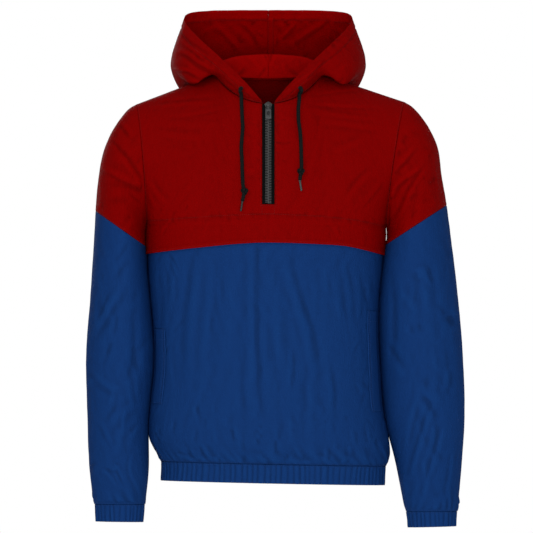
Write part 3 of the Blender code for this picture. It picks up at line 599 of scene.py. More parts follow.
@dataclass(frozen=True)
class Gathers:
    """Uneven folds that run out of a gathered seam and die away in the cloth.

    pitch is the least and greatest distance between folds, reach their shortest and longest
    length, height their least and greatest rise, and lean how far they slant per unit length.
    """

    seed: int
    pitch: tuple
    reach: tuple
    height: tuple
    lean: float = 0.25

    def rise(self, along: np.ndarray, away: np.ndarray, total: float) -> np.ndarray:
        """Give the gathers' height.

        Args:
            along: Distance along the seam.
            away: Distance from the seam.
            total: Length of the seam.

        Returns:
            Heights in millimetres.
        """
        rng = np.random.default_rng(self.seed)
        place = along.min() - 5.0
        height = np.zeros(along.shape)
        while place < along.min() + total + 5.0:
            pitch = rng.uniform(*self.pitch)
            place += pitch
            reach = rng.uniform(*self.reach) * (0.55 + 0.45 * rng.uniform())
            rise = rng.uniform(*self.height)
            lean = self.lean * rng.uniform(-1, 1)
            bend = 0.08 * rng.uniform(-1, 1)
            wide = pitch * 0.36 * (1.0 + 0.7 * away / reach)
            centre = place + lean * away + bend * away * away / reach
            fade = mix(0.55, 1.0, ramp(away, 0.0, 9.0)) * (1.0 - ramp(away, 0.25 * reach, reach))
            height += rise * np.exp(-((along - centre) / wide) ** 2) * fade
        return height


# ---------------------------------------------------------------- cloth panels

class ClothPanel:
    """A panel as a grid of points; seen from outside, rows run down and points run right."""

    def __init__(self, name: str, spots: np.ndarray, closed: bool = False, flip: bool = False,
                 keep: np.ndarray | None = None) -> None:
        """Lay out the panel.

        Args:
            name: Name of the piece.
            spots: Points, rows by columns by 3, in millimetres.
            closed: Whether each row runs round into its own start.
            flip: Whether points run left instead.
            keep: Which faces exist, or nothing for all.
        """
        self.name = name
        self.spots = spots
        self.closed = closed
        self.flip = flip
        self.keep = keep
        self.from_start = row_lengths(self._ring())
        self.from_end = self.from_start[:, -1:] - self.from_start
        self.from_start = self.from_start[:, :spots.shape[1]]
        self.from_end = self.from_end[:, :spots.shape[1]]
        self.from_top = row_lengths(spots.transpose(1, 0, 2)).T
        self.from_bottom = self.from_top[-1:] - self.from_top
        self.normals = self._normals()
        self.rise = np.zeros(spots.shape[:2])

    def _ring(self) -> np.ndarray:
        """Give the points of every row, and on a tube its first point again at the end."""
        return np.concatenate([self.spots, self.spots[:, :1]], axis=1) if self.closed else self.spots

    def _normals(self) -> np.ndarray:
        """Work out the outward direction at every point."""
        down = np.gradient(self.spots, axis=0)
        if self.closed:
            across = np.roll(self.spots, -1, axis=1) - np.roll(self.spots, 1, axis=1)
        else:
            across = np.gradient(self.spots, axis=1)
        normal = np.cross(down, across) * (-1.0 if self.flip else 1.0)
        return normal / np.maximum(np.linalg.norm(normal, axis=2, keepdims=True), 1e-9)

    def fold(self, folds: list, strength: np.ndarray = 1.0) -> None:
        """Add folds that are placed as the front view shows them."""
        for item in folds:
            self.rise += strength * item.rise(self.spots[..., 0], self.spots[..., 2],
                                              self.normals[..., 1])

    def crumple(self, seed: int, width: float, length: float, height: float,
                creased: float = 0.5) -> None:
        """Add fine random crumpling that runs down the panel.

        Args:
            seed: Seed of the random table.
            width: Usual width of a crumple.
            length: Usual length of a crumple.
            height: Greatest rise.
            creased: Share of the height that has sharp creases.
        """
        across = np.minimum(self.from_start, self.from_end) if self.closed else self.from_start
        lean = 3.0 * soft_noise(across / 90, self.from_top / 90, seed + 7)
        u = across / width + lean * width / 18
        v = self.from_top / length
        soft = soft_noise(u, v, seed)
        sharp = 1.0 - 2.0 * np.abs(soft_noise(u * 0.8, v * 0.9, seed + 1))
        self.rise += height * mix(soft, sharp, creased)

    def pucker(self, away: np.ndarray, along: np.ndarray, seed: int, height: float = 0.5,
               pitch: float = 6.5, reach: float = 9.0) -> None:
        """Add the short ripples that a tight seam makes beside it.

        Args:
            away: Distance of each point from the seam.
            along: Distance along the seam.
            seed: Seed of the random table.
            height: Greatest rise.
            pitch: Usual width of a ripple.
            reach: How far the ripples run into the cloth.
        """
        ripples = soft_noise(along / pitch, 0.5, seed) + 0.5 * soft_noise(along / pitch * 1.9, 0.5,
                                                                          seed + 1)
        self.rise += height * ripples * np.exp(-away / reach) * ramp(away, 0.0, 2.0)

    def press(self, away: np.ndarray, depth: float, width: float) -> None:
        """Press a groove into the cloth where away is 0."""
        self.rise -= depth * np.exp(-(away / width) ** 2)

    def hold(self, top: float = 0.0, bottom: float = 0.0, start: float = 0.0,
             end: float = 0.0) -> None:
        """Fade all relief to nothing at the seams.

        Args:
            top: Fading distance from the top edge, or 0 for none.
            bottom: The same from the bottom edge.
            start: The same from the start of each row.
            end: The same from the end of each row.
        """
        for reach, away in ((top, self.from_top), (bottom, self.from_bottom),
                            (start, self.from_start), (end, self.from_end)):
            if reach:
                self.rise *= ramp(away, 0.0, reach)

    def surface(self) -> np.ndarray:
        """Give the folded panel's points."""
        return self.spots + self.normals * self.rise[..., None]

    def quads(self) -> list:
        """List the panel's faces, those that exist."""
        rows, columns = self.spots.shape[:2]
        faces = []
        for i in range(rows - 1):
            for j in range(columns if self.closed else columns - 1):
                if self.keep is not None and not self.keep[i, j]:
                    continue
                right = (j + 1) % columns
                face = (i * columns + j, (i + 1) * columns + j,
                        (i + 1) * columns + right, i * columns + right)
                faces.append(face[::-1] if self.flip else face)
        return faces

    def _relative_rise(self) -> np.ndarray:
        """Say how far each point stands above the cloth round it, from 0 to 1."""
        wide = self.rise.copy()
        for _ in range(5):
            for axis in (0, 1):
                ahead = np.roll(wide, 1, axis=axis)
                behind = np.roll(wide, -1, axis=axis)
                wide = (2.0 * wide + ahead + behind) / 4.0
        return np.clip(0.5 + (self.rise - wide) / 1.3, 0.0, 1.0)

    def sew(self, outside: Finish, inside: Finish, wall: float, slot: str, *nodes: str,
            held: str = "hung", rests_on: tuple = (), gathered: float = 1.0) -> bpy.types.Object:
        """Make the panel's thin shell and fasten it to the garment.

        Args:
            outside: Finish of its face.
            inside: Finish of its back.
            wall: Thickness in millimetres.
            slot: Material slot of its cloth.
            nodes: Plain pieces that it stands for.
            held: How it is held; not used.
            rests_on: What it hangs from; not used.
            gathered: Length of the cut over the length that shows; not used.

        Returns:
            The piece.
        """
        used, faces = np.unique(np.array(self.quads()), return_inverse=True)
        item = link_mesh(self.name, self.surface().reshape(-1, 3)[used],
                         faces.reshape(-1, 4).tolist())
        mesh = item.data
        # The fold attribute is each point's rise over the cloth around it. The nylon finishes use it to
        # paint shade into valleys and light onto ridges.
        fold = mesh.attributes.new("fold", "FLOAT", "POINT")
        fold.data.foreach_set("value", self._relative_rise().astype(np.float32).ravel()[used])
        layer = mesh.uv_layers.new(name="cloth")
        corners = np.zeros(len(mesh.loops), np.int32)
        mesh.loops.foreach_get("vertex_index", corners)
        corners = used[corners]
        middle = self.from_start.max(axis=1, keepdims=True) / 2
        flat = np.stack([self.from_start - middle, -self.from_top], axis=-1).reshape(-1, 2) * MM
        spots = flat[corners]
        if self.closed:
            spots[:, 0] = self._closed_across(corners)
        layer.uv.foreach_set("vector", spots.astype(np.float32).ravel())
        mesh.materials.append(ROOM.material(outside))
        mesh.materials.append(ROOM.material(inside))
        shell = item.modifiers.new("Wall", "SOLIDIFY")
        shell.thickness = wall * MM
        shell.offset = -1.0
        shell.material_offset = 1
        settle(item)
        ROOM.hand_in(item, slot, *nodes)
        return item

    def _closed_across(self, corners: np.ndarray) -> np.ndarray:
        """Give each face corner's place across on a tube, without a jump at its closing seam."""
        columns = self.spots.shape[1]
        girth = (self.from_start + self.from_end)[:, 0]
        across = self.from_start.reshape(-1)[corners]
        column = (corners % columns).reshape(-1, 4)
        wraps = (column.max(axis=1) - column.min(axis=1)) > 1
        closing = np.repeat(wraps, 4) & (column.reshape(-1) == 0)
        return (across + np.where(closing, girth[corners // columns], 0.0)) * MM

    def cut(self) -> tuple:
        """Measure the panel laid flat.

        Returns:
            Width and length of the cloth in metres, and its area in square metres.
        """
        ring = self._ring()
        side = np.diff(ring, axis=1)[:-1]
        down = np.diff(ring, axis=0)[:, :-1]
        faces = np.linalg.norm(np.cross(side, down), axis=2)
        if self.keep is not None:
            faces = faces * self.keep
        area = faces.sum() * 1e-6
        width = (self.from_start + self.from_end).max() * MM
        length = self.from_top[-1].max() * MM
        return width, length, min(area, width * length)

    def parallel(self, edge: str, inset: float, lift: float = 0.15, first: int = 0,
                 last: int | None = None) -> tuple:
        """Follow a line that keeps its distance from one edge of the panel.

        Args:
            edge: One of top, bottom, start and end.
            inset: Distance from that edge.
            lift: How far the line stands off the cloth.
            first: First column or row that the line covers.
            last: Column or row to stop before.

        Returns:
            The line's points and the outward directions there.
        """
        surface = self.surface()
        away = getattr(self, f"from_{edge}")
        if edge in ("start", "end"):
            surface = surface.transpose(1, 0, 2)
            away = away.T
            normals = self.normals.transpose(1, 0, 2)
        else:
            normals = self.normals
        points, facings = [], []
        for column in range(away.shape[1])[first:last]:
            order = np.argsort(away[:, column], kind="stable")
            place = np.interp(inset, away[order, column], order.astype(float))
            low = int(min(place, len(away) - 2))
            share = place - low
            facing = mix(normals[low, column], normals[low + 1, column], share)
            point = mix(surface[low, column], surface[low + 1, column], share)
            points.append(point + facing * lift)
            facings.append(facing)
        return np.array(points), np.array(facings)

    def seen_at(self, line: list, spacing: float = 3.0, lift: float = 0.15) -> tuple:
        """Lay a line on the panel where a straight look from the front meets it.

        Args:
            line: Places (x, z).
            spacing: Distance between the line's points.
            lift: How far the line stands off the cloth.

        Returns:
            The line's points and the outward directions there.
        """
        surface = self.surface()
        tree = BVHTree.FromPolygons([Vector(p) for p in surface.reshape(-1, 3)], self.quads())
        line = np.asarray(line, float)
        lengths = np.concatenate([[0.0], np.cumsum(np.hypot(*np.diff(line, axis=0).T))])
        count = max(2, int(lengths[-1] / spacing) + 1)
        at = np.linspace(0, lengths[-1], count)
        points, facings = [], []
        for x, z in zip(np.interp(at, lengths, line[:, 0]), np.interp(at, lengths, line[:, 1])):
            hit, normal, _, _ = tree.ray_cast(Vector((x, -1000, z)), Vector((0, 1, 0)))
            if hit is not None:
                points.append(np.array(hit + normal * lift))
                facings.append(np.array(normal))
        return np.array(points), np.array(facings)


# ---------------------------------------------------------------- the garment's form

@dataclass(frozen=True)
class GarmentForm:
    """The garment's smooth outer form: body, neckline and yokes, from its driving sizes."""

    squareness: float = 2.3
    seam_gap: float = 0.3
    shoulder_gap: float = 0.9
    neck_half_width: float = 88.0
    neck_front: float = 91.0
    neck_back: float = 59.0
    neck_centre_y: float = 3.0
    neck_side_z: float = 20.0
    neck_front_drop: float = 51.0
    neck_back_drop: float = 8.0
    neck_drop_power: float = 1.5
    slot_half: float = 10.5
    slot_end_z: float = -199.0
    chest_z: float = -235.0
    neck_share: float = 0.28
    front_swell: float = 58.0
    back_swell: float = 52.0
    armhole_bow: float = 4.0
    band_top_z: float = -634.0
    band_end_z: float = -666.0
    band_tilt: float = 4.0
    tilt_start_z: float = -560.0
    back_seam_z: float = -270.0
    # z, half width left, half width right, front depth, back depth
    rings: tuple = (
        (-235, 205.0, 198.0, 122, 120), (-284, 204.8, 195.2, 125, 119),
        (-341, 200.0, 188.0, 123, 114), (-407, 194.0, 185.5, 119, 109),
        (-470, 192.5, 188.0, 119, 110), (-536, 199.0, 192.5, 121, 114),
        (-590, 200.4, 202.5, 122, 117), (-612, 191.0, 204.0, 119, 114),
        (-634, 180.5, 198.0, 110, 106), (-666, 181.0, 196.5, 108, 104),
    )
    # x and height of the flap's free edge
    flap_edge: tuple = ((-205, -282), (-150, -275), (-102, -270), (-50, -265), (0, -263),
                        (92, -266), (137, -270), (198, -284.5))
    # armhole: outer x, outer z, inner x, inner z for each side
    armholes: tuple = ((222, -31, 205.0, -235), (229, -27, 198.0, -235))

    @property
    def neck_front_z(self) -> float:
        """Height of the neckline's lowest point, in front."""
        return self.neck_side_z - self.neck_front_drop

    def body_size(self, side: int, z: np.ndarray) -> tuple:
        """Half width on one side, front depth and back depth of the body at a height."""
        table = np.asarray(self.rings, float)
        sizes = smooth(-table[:, 0], table[:, 1:], -np.asarray(z, float))
        return sizes[..., 0 if side < 0 else 1], sizes[..., 2], sizes[..., 3]

    def body_point(self, side: int, angle: np.ndarray, z: np.ndarray, front: bool,
                   inset: np.ndarray = 0.0) -> np.ndarray:
        """Give points on the body.

        Args:
            side: -1 or 1.
            angle: 0 on the centre line, pi / 2 at the side seam.
            z: Heights.
            front: Whether on the front.
            inset: How far inside the outer surface.

        Returns:
            The points.
        """
        width, ahead, behind = self.body_size(side, z)
        power = 2.0 / self.squareness
        x = (width - inset) * np.sin(angle) ** power
        depth = (ahead if front else behind) - inset - self.seam_gap / 2
        y = self.seam_gap / 2 + depth * np.maximum(np.cos(angle), 0.0) ** power
        tilt = self.band_tilt * ramp(-np.asarray(z, float), -self.tilt_start_z, -self.band_top_z)
        return stack(side * x, -y if front else y, z - tilt * side * x / width)

    def slot_angle(self, side: int, z: np.ndarray) -> np.ndarray:
        """Angle at which the body is one slot half width from the centre."""
        return np.arcsin((self.slot_half / self.body_size(side, z)[0]) ** (self.squareness / 2.0))

    def neck_point(self, around: np.ndarray) -> np.ndarray:
        """Point on the neckline: 0 is the centre front, pi / 2 the side and pi the back."""
        ahead = np.cos(around)
        reach = np.where(ahead > 0, self.neck_front, self.neck_back)
        drop = np.where(ahead > 0, self.neck_front_drop, self.neck_back_drop)
        return stack(self.neck_half_width * np.sin(around), self.neck_centre_y - reach * ahead,
                     self.neck_side_z - drop * np.abs(ahead) ** self.neck_drop_power)

    def top_edge(self, side: int, across: np.ndarray, front: bool) -> np.ndarray:
        """Top edge of a yoke: the neckline, then the shoulder seam out to the armhole."""
        across = np.asarray(across, float)
        start = np.arcsin(self.slot_half / self.neck_half_width) if front else 0.0
        shift = np.array([0.0, (-1 if front else 1) * self.shoulder_gap / 2, 0.0])
        around = mix(start, pi / 2, np.minimum(across / self.neck_share, 1.0))
        at_neck = self.neck_point(around if front else pi - around)
        share = np.maximum((across - self.neck_share) / (1.0 - self.neck_share), 0.0)[..., None]
        hole = self.armholes[0 if side < 0 else 1]
        tip = np.array([hole[0], self.neck_centre_y, hole[1]])
        at_shoulder = mix(self.neck_point(np.array(pi / 2)), tip, share)
        return np.where((across < self.neck_share)[..., None], at_neck, at_shoulder) + shift

    def armhole_edge(self, side: int, down: np.ndarray, front: bool) -> np.ndarray:
        """Edge of a yoke at the armhole, from the shoulder (0) to the armpit (1)."""
        outer_x, outer_z, inner_x, inner_z = self.armholes[0 if side < 0 else 1]
        bow = 2.0 * np.sqrt(np.maximum(down * (1.0 - down), 0.0))
        shift = mix(self.shoulder_gap, self.seam_gap, down) / 2
        swell = -self.front_swell * bow - shift if front else self.back_swell * bow + shift
        return stack(mix(outer_x, inner_x, down) - self.armhole_bow * bow,
                     mix(self.neck_centre_y, 0.0, down) + swell, mix(outer_z, inner_z, down))

    def centre_edge(self, down: np.ndarray, front: bool, side: int = 1) -> np.ndarray:
        """Middle of a yoke, from the neck (0) to the chest line (1)."""
        top = self.top_edge(side, np.array(0.0), front)
        angle = self.slot_angle(side, self.chest_z) if front else 0.0
        end = self.body_point(1, angle, self.chest_z, front)
        down = np.asarray(down, float)
        point = mix(top, end, down[..., None])
        point[..., 1] = mix(top[1], end[1], down if front else down ** 0.6)
        return point

    def yoke_point(self, side: int, across: np.ndarray, down: np.ndarray,
                   front: bool) -> np.ndarray:
        """Give points on a yoke above the chest line.

        Args:
            side: -1 or 1.
            across: From the centre (0) to the armhole (1).
            down: From the top edge (0) to the chest line (1).
            front: Whether on the front.

        Returns:
            The points, shaped as across and down together.
        """
        across, down = np.broadcast_arrays(np.asarray(across, float), np.asarray(down, float))
        start = self.slot_angle(side, self.chest_z) if front else 0.0

        def loft(top: np.ndarray, chest: np.ndarray) -> np.ndarray:
            """Run from the top edge to the chest line, rounding over to the front."""
            point = mix(top, chest, down[..., None])
            turn = np.sqrt(np.maximum(2.0 * down - down * down, 0.0))
            point[..., 1] = mix(top[..., 1], chest[..., 1], turn)
            return point

        ahead = np.array([1.0 if side > 0 else -1.0, 1.0, 1.0])
        chest = self.body_point(side, mix(start, pi / 2, across), self.chest_z, front) * ahead
        side_end = self.body_point(side, np.array(pi / 2), self.chest_z, front) * ahead
        centre_end = self.body_point(1, np.array(start), self.chest_z, front)
        at_side = self.armhole_edge(side, down, front) - loft(
            self.top_edge(side, np.array(1.0), front), side_end)
        at_centre = self.centre_edge(down, front, side) - loft(
            self.top_edge(side, np.array(0.0), front), centre_end)
        point = (loft(self.top_edge(side, across, front), chest)
                 + at_side * across[..., None] ** 3 + at_centre * (1.0 - across[..., None]) ** 3)
        point[..., 0] *= side
        return point

    def flap_edge_z(self, x: np.ndarray) -> np.ndarray:
        """Height of the flap's free edge."""
        table = np.asarray(self.flap_edge, float)
        return smooth(table[:, 0], table[:, 1], x)

    def front_y(self, x: float, z: float) -> float:
        """Depth of the front yoke's face at a place seen from the front."""
        side = -1 if x < 0 else 1
        low, high = 0.0, 1.0
        for _ in range(24):
            across = (low + high) / 2
            top_z = self.top_edge(side, np.array(across), True)[2]
            down = max((z - top_z) / (self.chest_z - top_z), 0.0)
            point = self.yoke_point(side, across, down, True)
            low, high = (across, high) if abs(point[0]) < abs(x) else (low, across)
        return float(point[1])


FORM = GarmentForm()


# ---------------------------------------------------------------- studio

@dataclass(frozen=True)
class Studio:
    """A pale floor, soft even light from above and in front, and a level camera."""

    floor_z: float = -1.12
    floor_radius: float = 3.2
    camera_distance: float = 24.0
    frame_width: float = 0.895
    aim: tuple = (-0.003, -0.303)
    room_light: float = 0.42
    backdrop_light: float = 1.0

    def build_camera(self) -> None:
        """Set a long level lens straight in front of the garment."""
        data = bpy.data.cameras.new("front_camera")
        data.sensor_width = 36.0
        data.lens = data.sensor_width * self.camera_distance / self.frame_width
        data.clip_end = 200.0
        camera = bpy.data.objects.new("front_camera", data)
        camera.location = (self.aim[0], -self.camera_distance, self.aim[1])
        camera.rotation_euler = (pi / 2, 0.0, 0.0)
        bpy.context.scene.collection.objects.link(camera)
        bpy.context.scene.camera = camera

    def build_room(self) -> None:
        """Lay the floor and hang the lights."""
        sides = 96
        rim = [(x, y, self.floor_z) for x, y in circle(self.floor_radius, sides)]
        mesh = bpy.data.meshes.new("studio_floor")
        mesh.from_pydata(rim, [], [tuple(range(sides))])
        floor = bpy.data.objects.new("studio_floor", mesh)
        paper, _, _ = new_material("Matt studio paper", {
            "Base Color": linear("#EDEDEC"), "Roughness": 0.9})
        mesh.materials.append(paper)
        bpy.context.scene.collection.objects.link(floor)
        self._light("key_softbox", (-1.5, -2.6, 1.3), 1.2, 15.0)
        self._light("front_softbox", (0.3, -4.0, -0.4), 1.8, 70.0)
        self._light("top_softbox", (0.1, 0.5, 2.2), 1.6, 6.0)
        self._light("back_softbox", (-0.8, 3.4, 0.7), 2.0, 45.0)
        self._world()
        bpy.context.scene.view_settings.view_transform = "Standard"

    def _light(self, name: str, place: tuple, size: float, power: float) -> None:
        """Hang one square softbox that looks at the garment's chest."""
        data = bpy.data.lights.new(name, "AREA")
        data.size = size
        data.energy = power
        light = bpy.data.objects.new(name, data)
        light.location = place
        aim = Vector((0.0, 0.0, self.aim[1])) - Vector(place)
        light.rotation_euler = aim.to_track_quat("-Z", "Y").to_euler()
        bpy.context.scene.collection.objects.link(light)

    def _world(self) -> None:
        """Surround everything with white paper that lights the cloth gently."""
        world = bpy.data.worlds.new("white_room")
        world.use_nodes = True
        tree = world.node_tree
        tree.nodes.clear()
        seen = add(tree, "ShaderNodeBackground", {"Color": (1, 1, 1, 1),
                                                  "Strength": self.backdrop_light})
        lit = add(tree, "ShaderNodeBackground", {"Color": (1, 1, 1, 1), "Strength": self.room_light})
        path = add(tree, "ShaderNodeLightPath")
        both = add(tree, "ShaderNodeMixShader", {}, {
            0: path.outputs["Is Camera Ray"], 1: lit.outputs[0], 2: seen.outputs[0]})
        add(tree, "ShaderNodeOutputWorld", {}, {"Surface": both.outputs[0]})
        bpy.context.scene.world = world


# ---------------------------------------------------------------- needlework

@dataclass
class Needlework:
    """Seam lines, and the stitches that Geometry Nodes lay along them."""

    spacing: float = 3.6
    stitch: float = 2.7
    thread: float = 0.55
    lines: dict = field(default_factory=dict)

    def run(self, colour: str, line: tuple) -> None:
        """Remember a seam line of one thread colour.

        Args:
            colour: Name of the thread.
            line: Its points and outward directions.
        """
        points, facings = line
        if len(points) > 1:
            self.lines.setdefault(colour, []).append((points, facings))

    def _tree(self, finish: SewingThread) -> tuple:
        """Build the node tree that turns seam lines into stitches.

        Args:
            finish: The thread.

        Returns:
            The tree and its input identifiers by name.
        """
        tree, given, sockets = new_geometry_tree("Stitches along a seam", "Stitches", {
            "Seam": "Geometry", "Spacing": "Float", "Stitch Length": "Float", "Thread": "Float"})
        curve = add(tree, "GeometryNodeMeshToCurve", {}, {"Mesh": given["Seam"]})
        even = add(tree, "GeometryNodeResampleCurve", {"mode": "LENGTH"}, {
            "Curve": curve.outputs[0], "Length": given["Spacing"]})
        tangent = add(tree, "GeometryNodeInputTangent")
        facing = add(tree, "GeometryNodeInputNamedAttribute", {"data_type": "FLOAT_VECTOR",
                                                               "Name": "facing"})
        laid = add(tree, "FunctionNodeAlignRotationToVector", {"axis": "X"},
                   {"Vector": tangent.outputs[0]})
        turned = add(tree, "FunctionNodeAlignRotationToVector", {"axis": "Z", "pivot_axis": "X"},
                     {"Rotation": laid.outputs[0], "Vector": facing.outputs[0]})
        bead = add(tree, "GeometryNodeMeshUVSphere", {"Segments": 6, "Rings": 4, "Radius": 0.5})
        size = add(tree, "ShaderNodeCombineXYZ", {}, {
            "X": given["Stitch Length"], "Y": given["Thread"], "Z": given["Thread"]})
        stitch = add(tree, "GeometryNodeTransform", {}, {"Geometry": bead.outputs["Mesh"],
                                                         "Scale": size.outputs[0]})
        sewn = add(tree, "GeometryNodeInstanceOnPoints", {}, {
            "Points": even.outputs[0], "Instance": stitch.outputs[0],
            "Rotation": turned.outputs[0]})
        real = add(tree, "GeometryNodeRealizeInstances", {}, {"Geometry": sewn.outputs[0]})
        smooth_faces = add(tree, "GeometryNodeSetShadeSmooth", {}, {"Geometry": real.outputs[0]})
        dyed = add(tree, "GeometryNodeSetMaterial", {}, {"Geometry": smooth_faces.outputs[0]})
        dyed.inputs["Material"].default_value = ROOM.material(finish)
        add(tree, "NodeGroupOutput", {}, {0: dyed.outputs[0]})
        return tree, sockets

    def sew(self, colour: str, finish: SewingThread, slot: str) -> bpy.types.Object:
        """Make one thread colour's stitches as one piece.

        Args:
            colour: Name of the thread.
            finish: Its finish.
            slot: Material slot of the cloth that it is dyed to match.

        Returns:
            The piece.
        """
        points, facings, edges = [], [], []
        for line, outward in self.lines[colour]:
            start = len(points)
            points.extend(line)
            facings.extend(outward)
            edges.extend((start + k, start + k + 1) for k in range(len(line) - 1))
        mesh = bpy.data.meshes.new(f"stitches_{colour}")
        mesh.from_pydata((np.array(points) * MM).tolist(), edges, [])
        layer = mesh.attributes.new("facing", "FLOAT_VECTOR", "POINT")
        layer.data.foreach_set("vector", np.array(facings, np.float32).ravel())
        item = bpy.data.objects.new(mesh.name, mesh)
        bpy.context.scene.collection.objects.link(item)
        tree, sockets = self._tree(finish)
        modifier = item.modifiers.new("Stitches", "NODES")
        modifier.node_group = tree
        modifier[sockets["Spacing"]] = self.spacing * MM
        modifier[sockets["Stitch Length"]] = self.stitch * MM
        modifier[sockets["Thread"]] = self.thread * MM
        settle(item)
        return ROOM.hand_in(item, slot)


THREADS = Needlework()


# ---------------------------------------------------------------- front and back

def yoke_downs(zip_share: float, beside_zip: int, below_zip: int) -> np.ndarray:
    """Shares down a yoke, closer together near the shoulder, with one at the zip's end."""
    turn = np.arccos(1.0 - zip_share)
    angles = np.concatenate([np.linspace(0.0, turn, beside_zip + 1),
                             np.linspace(turn, pi / 2, below_zip + 1)[1:]])
    return 1.0 - np.cos(angles)


def soften(spots: np.ndarray, across: np.ndarray, down: np.ndarray) -> None:
    """Smooth a half yoke below the corner where its neckline meets the shoulder seam.

    Args:
        spots: Points of the half, rows by columns; they are changed.
        across: Each column's share from the centre to the armhole.
        down: Each row's share from the top edge to the chest line.
    """
    weight = np.exp(-((across - FORM.neck_share) / 0.13) ** 2)[None] * ramp(down, 0.0, 0.12)
    weight = 0.25 * weight[:, 1:-1, None]
    for _ in range(90):
        spots[:, 1:-1] += weight * (spots[:, 2:] - 2.0 * spots[:, 1:-1] + spots[:, :-2])


